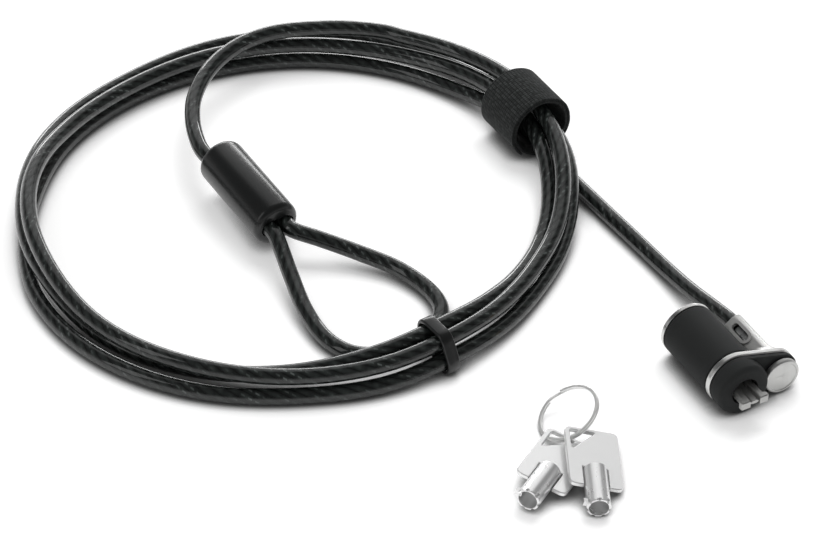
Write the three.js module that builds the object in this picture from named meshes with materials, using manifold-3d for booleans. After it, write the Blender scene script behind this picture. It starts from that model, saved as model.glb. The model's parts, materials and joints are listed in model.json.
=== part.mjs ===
// Laptop cable lock with two tubular keys, laid out as it lies on a table.
// Millimetres, +Z up, table top at z = 0. The lock's axis runs along Y with the locking tip toward -Y.
import * as THREE from 'three';
import { mergeVertices } from 'three/addons/utils/BufferGeometryUtils.js';
import Module from 'manifold-3d';

const wasm = await Module();
wasm.setup();

// ---------------------------------------------------------------- driving dimensions
const seat = 0.3; // gap left between pieces that seat on each other
const pinFit = 0.2; // radial clearance of the small pins in their bores

// lock head: stations run forward from the key end, along -Y
const plugBodyR = 4.4;
const shellWall = 1.3;
const housingWall = 1.1; // at its thinnest, round the cylinder's bore
const sleeveWall = 0.8;
const sleeveLength = 22.5;
const rearRingThick = 1.4;
const rearSpigot = 1.7;
const shellR = plugBodyR + seat + shellWall;
const housingR = shellR + seat + housingWall;
const barrelR = housingR + seat + sleeveWall;
const lockX = 28.9;
const lockRearY = 25.9;
const lockZ = barrelR;
const sleeveRear = rearRingThick + seat;
const sleeveFront = sleeveRear + sleeveLength;
const housingRear = rearRingThick + rearSpigot + seat;

// teardrop front plate, pad with its round nose, and the lug for the cable
const plateThick = 1.9;
const lugX = 14.3;
const lugZ = -2.1;
const lugR = 6.35;
const plateRear = sleeveFront + seat;
const plateFront = plateRear + plateThick;
const padInset = 0.1;
const padThick = 1.7;
const noseLength = 5.9;
const noseHoleR = 4.33;
const noseRound = 1.5;
const padRear = plateFront + seat;
const padFront = padRear + padThick;
const noseFront = padRear + noseLength;

// cable fitting behind the lug and the rivet that holds it
const anchorHalf = 3.4;
const anchorCorner = 1.9;
const anchorLength = 20.1;
const anchorTurn = THREE.MathUtils.degToRad(35);
const anchorFlangeR = 5.6;
const anchorFlare = 7.5;
const windowLength = 7.5;
const windowWidth = 2.3;
const windowRim = 0.95;
const windowRise = 0.5;
const rivetShankR = 2.0;
const rivetShankLength = 8.6;
const rivetHeadR = 5.75;
const rivetHeadThick = 2.0;
const rivetRecess = 0.25;
const rivetRim = 0.9;
const anchorFront = plateRear - seat;
const anchorRear = anchorFront - anchorLength;

// tubular key and the keyway it enters
const keyTubeR = 3.5;
const keyTubeWall = 0.65;
const keyTubeLength = 15.0;
const keyBoreDepth = 8.0;
const keyBowWidth = 16.0;
const keyBowLength = 23.0;
const keyBowThick = 1.4;
const keyBowCorner = 2.0;
const bowHoleAcross = 8.0;
const bowHoleAlong = 8.1;
const bowHoleSide = 1.5; // from the hole to the bow's side
const bowHoleEnd = 1.1; // and to its end
const bowHoleRound = 0.9;
const keyNeck = 8.0; // bare tube in front of the bow
const keyLugWidth = 1.5;
const keyLugLength = 1.6;
const keyLugRise = 1.0;
const keyFit = 0.25;
const bittingDepths = [1.3, 0.7, 1.9, 1.0, 1.6, 0.7, 1.3];

// lock cylinder
const keywayDepth = 4.5;
const postR = 2.6;
const plugBodyLength = 4.0;
const pinCount = 7;
const pinPitchR = 3.2;
const pinR = 0.42;
const keyPinRise = 0.8;
const driverPinLength = 2.2;
const pinBlockLength = 6.3;
const springTurns = 3;
const springWireR = 0.09;
const springR = 0.4;
const shaftR = 1.3;
const shaftSocket = 2.5;
const crossPinR = 0.7;
const crossPinFit = 0.3;
const shellRear = seat;
const keywayEnd = shellRear + keywayDepth;
const plugRear = keywayEnd + seat;
const plugFront = plugRear + plugBodyLength;
const blockRear = plugFront + seat;
const blockFront = blockRear + pinBlockLength;

// spreader blade and the two hooked jaws
const bladeHalfWidth = 1.3;
const bladeHalfThick = 0.52;
const jawInner = bladeHalfWidth + seat;
const jawLegWidth = 1.9;
const jawHook = 1.1;
const jawHookLength = 1.8;
const jawHeight = 2.7;
const jawFootOut = 1.2;
const jawFootHeight = 4.6;
const jawFootLength = 3.0;
const tipReach = 5.5; // how far the jaws stand out of the nose
const jawSpringThick = 0.3;
const jawOuter = jawInner + jawLegWidth;
const tipEnd = noseFront + tipReach;

// cable and its coil; angles are counter-clockwise from +X about the coil's centre
const cableR = 2.5;
const coilX = -45.8;
const coilY = 132.2;
const coilSides = 6;
const coilStepsPerTurn = 30;
const coilStart = 3.2;
const coilSteps = 93;
const sectionSides = 8;

// strap and clip round the coil
const strapR = 9.0;
const strapThick = 0.75;
const strapWidth = 18.5;
const strapAngle = 3.2;
const strapCentreR = 83.4;
const clipTurn = 23; // coil steps from its start to the clip
const clipFit = 0.35;
const clipThick = 1.2;
const clipWidth = 4.4;

// moulded sleeve over the crimp of the end loop
const eyeSleeveR = 7.5;
const eyeSleeveFillet = 2.2;
const eyeSleeveRear = new THREE.Vector3(-58.3, 158.3, 12.5);
const eyeSleeveMouth = new THREE.Vector3(-56.0, 122.8, 10.0);
const crimpSpacing = 5.5; // between the two strands side by side
const crimpWall = 0.4;
const crimpLength = 18.0;
const crimpStart = 8.8;

// keys and split ring as they lie
const ringR = 9.6;
const ringWire = 0.55;
const ringWidth = 0.8;
const ringLayerGap = 0.1;
const ringSplit = 28; // degrees between the two ends
const ringCentre = new THREE.Vector3(-18.7, 12.3, 5.5);
const ringSlope = [0.575, -0.16]; // rise per millimetre along X and Y
const keyPoses = [
  { name: 'key_1', mouth: [-46.6, -12.7, 4.88], heading: -55.1, pitch: -5.0, roll: 9.6 },
  { name: 'key_2', mouth: [-30.1, -24.0, 3.7], heading: -26.1, pitch: 1.4, roll: 15.2 },
];

// middle of the lock and its keys as laid out, which stands over the origin
const middle = [0.49, 0.21];

// ---------------------------------------------------------------- materials
function finish(color, roughness, metalness) {
  return new THREE.MeshStandardMaterial({ color, roughness, metalness });
}
const softBlack = finish(0x232426, 0.62, 0.0);
const glossBlack = finish(0x0c0d0e, 0.15, 0.0);
const cableBlack = finish(0x15171a, 0.28, 0.0);
const strapBlack = finish(0x1b1c1e, 0.9, 0.0);
const castMetal = finish(0xc6c8c9, 0.32, 0.9);
const plated = finish(0xdfe0df, 0.18, 1.0);
const steel = finish(0xb9bcbf, 0.3, 1.0);
const brass = finish(0xb08a45, 0.35, 0.9);
const aluminium = finish(0xc9cbcd, 0.4, 0.9);

// ---------------------------------------------------------------- solid helpers
function toSolid(geometry) {
  const bare = geometry.index ? geometry.toNonIndexed() : geometry.clone();
  for (const name of Object.keys(bare.attributes)) {
    if (name !== 'position') bare.deleteAttribute(name);
  }
  const merged = mergeVertices(bare, 1e-5);
  const index = merged.index.array;
  const triangles = [];
  for (let i = 0; i < index.length; i += 3) {
    const [a, b, c] = [index[i], index[i + 1], index[i + 2]];
    if (a !== b && b !== c && c !== a) triangles.push(a, b, c);
  }
  return new wasm.Manifold(
    new wasm.Mesh({
      numProp: 3,
      vertProperties: new Float32Array(merged.attributes.position.array),
      triVerts: new Uint32Array(triangles),
    })
  );
}

function toGeometry(solid) {
  const mesh = solid.getMesh();
  const geometry = new THREE.BufferGeometry();
  geometry.setAttribute('position', new THREE.BufferAttribute(new Float32Array(mesh.vertProperties), 3));
  geometry.setIndex(new THREE.BufferAttribute(new Uint32Array(mesh.triVerts), 1));
  geometry.computeVertexNormals();
  return geometry;
}

function cut(base, ...tools) {
  return toGeometry(tools.reduce((solid, tool) => solid.subtract(toSolid(tool)), toSolid(base)));
}

function join(base, ...others) {
  return toGeometry(others.reduce((solid, other) => solid.add(toSolid(other)), toSolid(base)));
}

// Revolved profile of [radius, station] points about the head's axis, stations running along -Y.
function revolve(points, segments = 32) {
  return revolveY(points, segments).rotateX(Math.PI);
}

// The same about +Y.
function revolveY(points, segments = 32) {
  let area = 0;
  points.forEach(([r, t], i) => {
    const [r2, t2] = points[(i + 1) % points.length];
    area += r * t2 - r2 * t;
  });
  const ordered = area < 0 ? [...points].reverse() : points;
  const onAxis = ordered[0][0] === 0 && ordered[ordered.length - 1][0] === 0;
  const closed = onAxis ? ordered : [...ordered, ordered[0]];
  return new THREE.LatheGeometry(closed.map(([r, t]) => new THREE.Vector2(r, t)), segments);
}

function tube(outer, inner, from, to, segments = 32) {
  return revolve([[inner, from], [outer, from], [outer, to], [inner, to]], segments);
}

function rod(radius, from, to, segments = 24) {
  return revolve([[0, from], [radius, from], [radius, to], [0, to]], segments);
}

// A shape drawn in X and Z, pushed along the head's axis between two stations.
function prism(shape, from, to, bevel = 0) {
  const geometry = new THREE.ExtrudeGeometry(shape, {
    depth: to - from - 2 * bevel,
    bevelEnabled: bevel > 0,
    bevelThickness: bevel,
    bevelSize: bevel,
    bevelOffset: -bevel,
    bevelSegments: 1,
    curveSegments: 14,
  });
  return geometry.rotateX(Math.PI / 2).translate(0, -from - bevel, 0);
}

function block(x0, x1, from, to, z0, z1) {
  const box = new THREE.BoxGeometry(x1 - x0, to - from, z1 - z0);
  return box.translate((x0 + x1) / 2, -(from + to) / 2, (z0 + z1) / 2);
}

// Rectangle with rounded corners about the origin.
function roundedRect(width, height, radius) {
  const shape = new THREE.Shape();
  const x = width / 2 - radius;
  const y = height / 2 - radius;
  shape.absarc(x, y, radius, 0, Math.PI / 2, false);
  shape.absarc(-x, y, radius, Math.PI / 2, Math.PI, false);
  shape.absarc(-x, -y, radius, Math.PI, 1.5 * Math.PI, false);
  shape.absarc(x, -y, radius, 1.5 * Math.PI, 2 * Math.PI, false);
  return shape;
}

// Outline round a few circles of one radius, its centres given counter-clockwise.
function roundHull(centres, radius) {
  const shape = new THREE.Shape();
  const count = centres.length;
  const normal = (i) => {
    const [x0, y0] = centres[i];
    const [x1, y1] = centres[(i + 1) % count];
    return Math.atan2(x0 - x1, y1 - y0);
  };
  for (let i = 0; i < count; i += 1) {
    const start = normal((i + count - 1) % count);
    let end = normal(i);
    while (end < start) end += 2 * Math.PI;
    shape.absarc(centres[i][0], centres[i][1], radius, start, end, false);
  }
  return shape;
}

// Circle of the barrel drawn out to the round lug beside it.
function teardrop(inset) {
  const shape = new THREE.Shape();
  const spread = Math.hypot(lugX, lugZ);
  const lean = Math.atan2(lugZ, lugX);
  const touch = Math.acos((barrelR - lugR) / spread);
  shape.absarc(0, 0, barrelR - inset, lean + touch, lean - touch + 2 * Math.PI, false);
  shape.absarc(lugX, lugZ, lugR - inset, lean - touch, lean + touch, false);
  return shape;
}

// Cable along a smooth curve through points chosen by hand.
function cableAlong(points, steps, radius = cableR) {
  const section = new THREE.Shape();
  for (let i = 0; i < sectionSides; i += 1) {
    const angle = ((i + 0.5) / sectionSides) * 2 * Math.PI;
    const place = [radius * Math.cos(angle), radius * Math.sin(angle)];
    if (i === 0) section.moveTo(...place);
    else section.lineTo(...place);
  }
  section.closePath();
  const path = new THREE.CatmullRomCurve3(points, false, 'centripetal');
  return new THREE.ExtrudeGeometry(section, { steps, extrudePath: path, bevelEnabled: false });
}

// Closed skin over rings of points that follow one another.
function skin(rings) {
  const sides = rings[0].length;
  const positions = rings.flat().flatMap((p) => [p.x, p.y, p.z]);
  const index = [];
  for (let i = 0; i < rings.length - 1; i += 1) {
    for (let j = 0; j < sides; j += 1) {
      const a = i * sides + j;
      const b = i * sides + ((j + 1) % sides);
      index.push(a, b, b + sides, a, b + sides, a + sides);
    }
  }
  const last = (rings.length - 1) * sides;
  for (let j = 1; j < sides - 1; j += 1) {
    index.push(0, j + 1, j, last, last + j, last + j + 1);
  }
  const geometry = new THREE.BufferGeometry();
  geometry.setAttribute('position', new THREE.Float32BufferAttribute(positions, 3));
  geometry.setIndex(index);
  geometry.computeVertexNormals();
  return geometry;
}

const lock = new THREE.Group();
lock.name = 'laptop_cable_lock';
lock.position.set(-middle[0], -middle[1], 0);

function add(parent, name, geometry, material) {
  const mesh = new THREE.Mesh(geometry, material);
  mesh.name = name;
  parent.add(mesh);
  return mesh;
}

// ---------------------------------------------------------------- lock head
const head = new THREE.Group();
head.position.set(lockX, lockRearY, lockZ);
lock.add(head);

// Bright ring that closes the sleeve at the key end.
const rearBore = shellR + seat;
const ringEdge = 0.25;
add(
  head,
  'rear_ring',
  revolve(
    [
      [rearBore, 0],
      [barrelR - ringEdge, 0],
      [barrelR, ringEdge],
      [barrelR, rearRingThick],
      [housingR, rearRingThick],
      [housingR, rearRingThick + rearSpigot],
      [rearBore, rearRingThick + rearSpigot],
    ],
    48
  ),
  plated
);

// Soft-touch sleeve over the body.
add(
  head,
  'barrel_sleeve',
  revolve(
    [
      [barrelR - sleeveWall, sleeveRear],
      [barrelR - ringEdge, sleeveRear],
      [barrelR, sleeveRear + ringEdge],
      [barrelR, sleeveFront - ringEdge],
      [barrelR - ringEdge, sleeveFront],
      [barrelR - sleeveWall, sleeveFront],
    ],
    48
  ),
  softBlack
);

// Die-cast body: bore for the cylinder, then the chamber of the jaws, open to the front plate.
const chamberHalfWidth = jawOuter + jawFootOut + 2 * seat + jawSpringThick;
const chamberHalfHeight = jawFootHeight / 2 + 0.45;
const cylinderBore = shellR + seat;
const crossPinStation = (blockRear + blockFront) / 2;
const crossPinHole = new THREE.CylinderGeometry(crossPinR + crossPinFit, crossPinR + crossPinFit, 2 * barrelR, 12)
  .rotateX(Math.PI / 2)
  .translate(0, -crossPinStation, barrelR + plugBodyR - 0.5);
add(
  head,
  'lock_housing',
  cut(
    rod(housingR, housingRear, sleeveFront, 40),
    rod(cylinderBore, housingRear - 1, blockFront + seat, 40),
    block(
      -chamberHalfWidth,
      chamberHalfWidth,
      blockFront,
      sleeveFront + 1,
      -chamberHalfHeight,
      chamberHalfHeight
    ),
    crossPinHole
  ),
  castMetal
);

// Teardrop plate with the jaws' slot and the rivet's hole.
const slotHalfWidth = jawOuter + seat;
const slotHalfHeight = jawHeight / 2 + seat;
const rivetHole = (from, to) => rod(rivetShankR + seat, from, to, 20).translate(lugX, 0, lugZ);
add(
  head,
  'front_plate',
  cut(
    prism(teardrop(0), plateRear, plateFront, 0.25),
    block(-slotHalfWidth, slotHalfWidth, plateRear - 1, plateFront + 1, -slotHalfHeight, slotHalfHeight),
    rivetHole(plateRear - 1, plateFront + 1)
  ),
  plated
);

// Black pad on the plate, with the round nose that meets the device.
const noseR = barrelR - padInset;
const noseProfile = [
  [0, padRear + seat],
  [noseR, padRear + seat],
];
for (let i = 0; i <= 4; i += 1) {
  const round = (i / 4) * (Math.PI / 2);
  noseProfile.push([
    noseR - noseRound * (1 - Math.cos(round)),
    noseFront - noseRound * (1 - Math.sin(round)),
  ]);
}
noseProfile.push([0, noseFront]);
add(
  head,
  'front_pad',
  cut(
    join(prism(teardrop(padInset), padRear, padFront, 0.3), revolve(noseProfile, 44)),
    rod(noseHoleR, padRear - 1, noseFront + 1, 32),
    rivetHole(padRear - 1, padFront + 1)
  ),
  softBlack
);

// ---------------------------------------------------------------- cable fitting
const fitting = new THREE.Group();
fitting.position.set(lugX, 0, lugZ);
head.add(fitting);

const ferruleR = cableR - 0.1;
const fittingBore = cableR + seat;
const leadEntry = 2.7; // length of cable inside the fitting
const windowStation = anchorRear + 6.7;
const boreEnd = anchorRear + 14.1;

// Oblong drawn along the fitting, pushed outward from its axis toward the window's side.
function oblong(length, width, near, far) {
  const shape = roundedRect(length, width, width / 2 - 0.01);
  const geometry = new THREE.ExtrudeGeometry(shape, { depth: far - near, bevelEnabled: false, curveSegments: 6 });
  const outward = new THREE.Vector3(-Math.sin(anchorTurn), 0, Math.cos(anchorTurn));
  const forward = new THREE.Vector3(0, -1, 0);
  const across = new THREE.Vector3().crossVectors(outward, forward);
  geometry.translate(0, 0, near);
  geometry.applyMatrix4(new THREE.Matrix4().makeBasis(forward, across, outward));
  return geometry.translate(0, -windowStation, 0);
}

function anchorBody() {
  const section = roundedRect(2 * anchorHalf, 2 * anchorHalf, anchorCorner);
  const shaft = prism(section, anchorRear, anchorFront - 2, 0.5).rotateY(-anchorTurn);
  const flare = [[0, anchorFront - anchorFlare]];
  const arcSteps = 6;
  for (let i = 0; i <= arcSteps; i += 1) {
    const along = i / arcSteps;
    const radius = anchorHalf - 0.2 + (anchorFlangeR - anchorHalf + 0.2) * (1 - Math.cos((along * Math.PI) / 2));
    flare.push([radius, anchorFront - anchorFlare * (1 - along)]);
  }
  flare.push([0, anchorFront]);
  const rim = oblong(windowLength + 2 * windowRim, windowWidth + 2 * windowRim, 1, anchorHalf + windowRise);
  const body = join(shaft, revolve(flare, 32), rim);
  return cut(
    body,
    rod(fittingBore, anchorRear - 1, boreEnd),
    oblong(windowLength, windowWidth, 0.5, anchorHalf + 2),
    rod(rivetShankR + seat, boreEnd + 1.2, anchorFront + 1, 20)
  );
}
add(fitting, 'cable_anchor', anchorBody(), castMetal);

// Ferrule swaged on the steel rope, seen through the window.
const ferruleRear = anchorRear + leadEntry + seat;
add(
  fitting,
  'cable_ferrule',
  revolve(
    [
      [0, ferruleRear],
      [ferruleR - 0.4, ferruleRear],
      [ferruleR, ferruleRear + 0.6],
      [ferruleR, ferruleRear + 3.2],
      [ferruleR - 0.35, ferruleRear + 3.6],
      [ferruleR - 0.35, ferruleRear + 4.4],
      [ferruleR, ferruleRear + 4.8],
      [ferruleR, boreEnd - seat - 0.6],
      [ferruleR - 0.4, boreEnd - seat],
      [0, boreEnd - seat],
    ],
    20
  ),
  aluminium
);

// Rivet: shank through plate and pad into the fitting, wide head with a raised rim.
const headUnder = padFront + seat;
const headTop = headUnder + rivetHeadThick;
add(
  fitting,
  'anchor_rivet',
  revolve(
    [
      [0, headUnder - rivetShankLength],
      [rivetShankR, headUnder - rivetShankLength],
      [rivetShankR, headUnder],
      [rivetHeadR - 0.3, headUnder],
      [rivetHeadR, headUnder + 0.3],
      [rivetHeadR, headTop - 0.6],
      [rivetHeadR - 0.15, headTop - 0.2],
      [rivetHeadR - 0.55, headTop],
      [rivetHeadR - rivetRim, headTop],
      [rivetHeadR - rivetRim - 0.2, headTop - rivetRecess],
      [0.4, headTop - rivetRecess],
      [0, headTop - rivetRecess - 0.2],
    ],
    40
  ),
  plated
);

// ---------------------------------------------------------------- lock cylinder
const pinAngle = (i) => Math.PI / 2 + ((i + 0.5) / pinCount) * 2 * Math.PI;
const pinPlace = (i) => [pinPitchR * Math.cos(pinAngle(i)), pinPitchR * Math.sin(pinAngle(i))];

function pinBores(from, to) {
  return Array.from({ length: pinCount }, (_, i) => {
    const [x, z] = pinPlace(i);
    return rod(pinR + pinFit, from, to, 10).translate(x, 0, z);
  });
}

// Fixed shell: its mouth is the keyway, with the notch that the key's lug passes.
const keywayR = keyTubeR + keyFit;
const shellBore = plugBodyR + seat;
const notchHalf = keyLugWidth / 2 + seat;
add(
  head,
  'lock_shell',
  cut(
    rod(shellR, shellRear, blockFront, 40),
    rod(keywayR, shellRear - 1, keywayEnd + 1, 32),
    rod(shellBore, keywayEnd, blockFront + 1, 32),
    block(-keyTubeR - keyLugRise - seat, 0, shellRear - 1, keywayEnd + 0.1, -notchHalf, notchHalf),
    crossPinHole
  ),
  brass
);

// Turning plug with the centre post.
add(
  head,
  'keyway_plug',
  cut(
    revolve(
      [
        [0, shellRear + seat],
        [postR - 0.4, shellRear + seat],
        [postR, shellRear + seat + 0.4],
        [postR, plugRear],
        [plugBodyR, plugRear],
        [plugBodyR, plugFront],
        [0, plugFront],
      ],
      32
    ),
    rod(shaftR + seat, plugFront - shaftSocket, plugFront + 1),
    ...pinBores(plugRear - 0.5, plugFront + 1)
  ),
  brass
);

// Fixed rear half with the driver pins.
const driverEnd = blockRear + driverPinLength;
const boreBottom = blockFront - 0.8;
const crossPinBottom = pinPitchR + pinR + pinFit + 0.1;
add(
  head,
  'pin_block',
  cut(
    rod(plugBodyR, blockRear, blockFront, 32),
    rod(shaftR + seat, blockRear - 1, blockFront + 1),
    ...pinBores(blockRear - 1, boreBottom),
    new THREE.CylinderGeometry(crossPinR + crossPinFit, crossPinR + crossPinFit, 2, 12)
      .rotateX(Math.PI / 2)
      .translate(0, -crossPinStation, crossPinBottom + 1)
  ),
  brass
);

// Pin stacks, drawn at the height that the right key gives them.
for (let i = 0; i < pinCount; i += 1) {
  const [x, z] = pinPlace(i);
  const tip = plugRear - keyPinRise;
  const profile = [[0, tip], [pinR - 0.15, tip], [pinR, tip + 0.2], [pinR, plugFront], [0, plugFront]];
  add(head, `key_pin_${i + 1}`, revolve(profile, 8).translate(x, 0, z), steel);
}
for (let i = 0; i < pinCount; i += 1) {
  const [x, z] = pinPlace(i);
  add(head, `driver_pin_${i + 1}`, rod(pinR, blockRear, driverEnd, 8).translate(x, 0, z), steel);
}

// Compression spring behind each driver pin.
function pinSpring(from, to) {
  const rings = [];
  const stepsPerTurn = 8;
  const steps = springTurns * stepsPerTurn;
  const rise = to - from - 2 * springWireR;
  for (let k = 0; k <= steps; k += 1) {
    const angle = (k / stepsPerTurn) * 2 * Math.PI;
    const outward = new THREE.Vector3(Math.cos(angle), 0, Math.sin(angle));
    const centre = outward.clone().multiplyScalar(springR);
    centre.y = -(from + springWireR + (k / steps) * rise);
    const ring = [];
    for (let j = 0; j < 5; j += 1) {
      const round = (j / 5) * 2 * Math.PI;
      const place = centre.clone().addScaledVector(outward, springWireR * Math.cos(round));
      place.y += springWireR * Math.sin(round);
      ring.push(place);
    }
    rings.push(ring);
  }
  return skin(rings);
}
for (let i = 0; i < pinCount; i += 1) {
  const [x, z] = pinPlace(i);
  add(head, `pin_spring_${i + 1}`, pinSpring(driverEnd + seat, boreBottom - seat).translate(x, 0, z), steel);
}

// Cross pin that keeps the cylinder in the body.
add(
  head,
  'cross_pin',
  new THREE.CylinderGeometry(crossPinR, crossPinR, housingR - seat - crossPinBottom - seat, 12)
    .rotateX(Math.PI / 2)
    .translate(0, -crossPinStation, (housingR - seat + crossPinBottom + seat) / 2),
  steel
);

// ---------------------------------------------------------------- jaws and spreader
// Oval blade on the plug's shaft: lying flat it holds the jaws apart.
const bladeRear = sleeveFront - jawFootLength - 1.2;
const bladeEnd = tipEnd - 0.4;
function bladeSection() {
  const outer = 0.22;
  const shoulder = 0.75;
  const shape = new THREE.Shape();
  shape.moveTo(bladeHalfWidth, -outer);
  shape.lineTo(bladeHalfWidth, outer);
  shape.lineTo(shoulder, bladeHalfThick);
  shape.lineTo(-shoulder, bladeHalfThick);
  shape.lineTo(-bladeHalfWidth, outer);
  shape.lineTo(-bladeHalfWidth, -outer);
  shape.lineTo(-shoulder, -bladeHalfThick);
  shape.lineTo(shoulder, -bladeHalfThick);
  shape.closePath();
  return shape;
}
add(
  head,
  'spreader_blade',
  join(rod(shaftR, plugFront - shaftSocket + seat, bladeRear), prism(bladeSection(), bladeRear - 0.5, bladeEnd)),
  steel
);

// One hooked jaw: foot in the chamber, leg through plate and nose, hook at the tip.
function jaw(side) {
  const footRear = sleeveFront - jawFootLength;
  const hookRear = tipEnd - jawHookLength;
  const hookX = jawOuter + jawHook;
  const corner = 0.35;
  const outline = [
    [jawInner, footRear],
    [jawOuter, footRear],
    [jawOuter, hookRear - corner],
    [hookX - corner, hookRear],
    [hookX, hookRear + corner],
    [hookX, tipEnd - corner],
    [hookX - corner, tipEnd],
    [jawInner, tipEnd],
  ];
  const shape = new THREE.Shape(outline.map(([x, t]) => new THREE.Vector2(side * x, -t)));
  const bevel = 0.25;
  const leg = new THREE.ExtrudeGeometry(shape, {
    depth: jawHeight - 2 * bevel,
    bevelThickness: bevel,
    bevelSize: bevel,
    bevelOffset: -bevel,
    bevelSegments: 1,
  }).translate(0, 0, bevel - jawHeight / 2);
  const near = side * (jawInner + 0.05);
  const far = side * (jawOuter + jawFootOut);
  const foot = block(
    Math.min(near, far),
    Math.max(near, far),
    footRear + 0.1,
    sleeveFront - 0.1,
    -jawFootHeight / 2,
    jawFootHeight / 2
  );
  return join(leg, foot);
}
add(head, 'jaw_left', jaw(-1), plated);
add(head, 'jaw_right', jaw(1), plated);

// U-shaped leaf spring whose arms press the feet inward.
const armInner = jawOuter + jawFootOut + seat;
const springBase = bladeRear - 1.2;
const springHalfHeight = jawFootHeight / 2;
add(
  head,
  'jaw_spring',
  cut(
    block(
      -armInner - jawSpringThick,
      armInner + jawSpringThick,
      springBase,
      sleeveFront - 0.6,
      -springHalfHeight,
      springHalfHeight
    ),
    block(
      -armInner,
      armInner,
      springBase + jawSpringThick,
      sleeveFront,
      -springHalfHeight - 1,
      springHalfHeight + 1
    ),
    rod(shaftR + seat, springBase - 1, springBase + 1)
  ),
  steel
);

// ---------------------------------------------------------------- coil
// The cable's way round the coil: [angle, radius, height of its centre]. Each strand rests on the table
// or on the strands below it, and rises where it crosses the straight lead, the clip or the strap.
const coilRoute = [
  [3.2, 82.6, 5.1], [12, 81.9, 5.0], [24, 80.4, 3.4], [38, 79.3, 2.6], [56, 79.4, 2.6], [80, 79.3, 2.6],
  [104, 80.0, 2.6], [125, 81.2, 2.6], [144, 81.2, 2.6], [165, 83.0, 2.6], [177, 84.6, 2.6], [196, 85.2, 2.6],
  [220, 84.0, 2.6], [244, 81.8, 2.6], [262, 82.3, 3.0], [279.2, 81.8, 4.25], [294, 81.3, 3.1], [307, 81.2, 2.7],
  [321, 83.0, 3.4], [331, 84.5, 4.9], [340, 86.0, 8.0], [350, 87.5, 8.8], [363.2, 88.5, 8.7],
  [372, 89.0, 7.0], [380, 89.9, 4.6], [396, 91.5, 3.2], [416, 93.4, 3.0], [436, 92.3, 3.0], [460, 88.2, 3.4],
  [480, 86.6, 4.8], [495, 84.7, 7.0], [510, 83.0, 8.1], [525, 82.0, 8.2], [537, 80.4, 6.6], [556, 78.7, 3.4],
  [580, 76.3, 3.5], [604, 74.1, 5.2], [622, 73.8, 8.0], [639.2, 73.2, 9.1], [654, 73.4, 7.0], [668, 74.2, 4.2],
  [682, 76.2, 3.2], [691, 77.8, 4.4], [701, 79.4, 7.0], [708, 80.5, 9.0], [715, 81.3, 10.2], [723.2, 82.0, 10.8],
  [732, 82.9, 10.4], [744, 83.9, 8.8], [758, 82.9, 8.0], [776, 82.0, 7.9], [800, 80.6, 8.3], [824, 79.4, 8.5],
  [845, 79.8, 10.0], [860, 80.4, 12.6], [872, 80.7, 13.6], [885, 80.5, 13.6], [897, 80.1, 12.2],
  [916, 80.0, 9.0], [940, 79.9, 8.6], [964, 79.5, 8.0], [982, 79.6, 8.4], [999.2, 79.0, 9.2], [1014, 78.7, 8.5],
  [1028, 78.9, 8.0], [1042, 80.9, 9.0], [1051, 82.1, 10.6], [1061, 83.4, 13.6], [1072, 84.8, 14.7],
  [1083.2, 85.9, 14.9], [1092, 86.8, 14.4], [1104, 87.3, 13.2], [1115, 86.2, 13.1], [1120, 85.9, 13.1],
];

// Radius and height at any angle, on a smooth curve through the stations.
function onRoute(angle) {
  let k = 1;
  while (k < coilRoute.length - 2 && coilRoute[k][0] < angle) k += 1;
  const stations = [Math.max(k - 2, 0), k - 1, k, Math.min(k + 1, coilRoute.length - 1)].map((i) => coilRoute[i]);
  const [before, from, to, after] = stations;
  const span = to[0] - from[0];
  const s = (angle - from[0]) / span;
  return [1, 2].map((column) => {
    const slopeFrom = ((to[column] - before[column]) / (to[0] - before[0])) * span;
    const slopeTo = ((after[column] - from[column]) / (after[0] - from[0])) * span;
    const s2 = s * s;
    const s3 = s2 * s;
    return (
      (2 * s3 - 3 * s2 + 1) * from[column] +
      (s3 - 2 * s2 + s) * slopeFrom +
      (3 * s2 - 2 * s3) * to[column] +
      (s3 - s2) * slopeTo
    );
  });
}

const coilCentres = [];
for (let k = 0; k <= coilSteps; k += 1) {
  const angle = coilStart + (k * 360) / coilStepsPerTurn;
  const [radius, height] = onRoute(angle);
  const turn = THREE.MathUtils.degToRad(angle);
  coilCentres.push(new THREE.Vector3(coilX + radius * Math.cos(turn), coilY + radius * Math.sin(turn), height));
}

// Rings of points square to a path of centres, with one side kept level.
function ringsAlong(centres, radius, sides) {
  return centres.map((centre, k) => {
    const ahead = centres[Math.min(k + 1, centres.length - 1)];
    const behind = centres[Math.max(k - 1, 0)];
    const along = ahead.clone().sub(behind).normalize();
    const level = new THREE.Vector3(-along.y, along.x, 0).normalize();
    const up = new THREE.Vector3().crossVectors(along, level);
    return Array.from({ length: sides }, (_, j) => {
      const round = ((j + 0.5) / sides) * 2 * Math.PI;
      return centre
        .clone()
        .addScaledVector(level, radius * Math.cos(round))
        .addScaledVector(up, radius * Math.sin(round));
    });
  });
}
add(lock, 'cable_coil', skin(ringsAlong(coilCentres, cableR, coilSides)), cableBlack);

// Least distance from one turn of the coil to the next ones, less the cable's own width.
function leastGap(centres) {
  const fine = [];
  for (let k = 0; k < centres.length - 1; k += 1) {
    for (let j = 0; j < 4; j += 1) fine.push(centres[k].clone().lerp(centres[k + 1], j / 4));
  }
  let least = Infinity;
  const apart = 2 * coilStepsPerTurn;
  for (let i = 0; i < fine.length; i += 1) {
    for (let j = i + apart; j < fine.length; j += 1) least = Math.min(least, fine[i].distanceTo(fine[j]));
  }
  return least - 2 * cableR;
}
console.log(`coil: least gap between turns ${leastGap(coilCentres).toFixed(2)} mm`);

// ---------------------------------------------------------------- free stretches of the cable
const point = (x, y, z) => new THREE.Vector3(x, y, z);
const stepOn = (from, along, distance) => from.clone().addScaledVector(along, distance);

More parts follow.
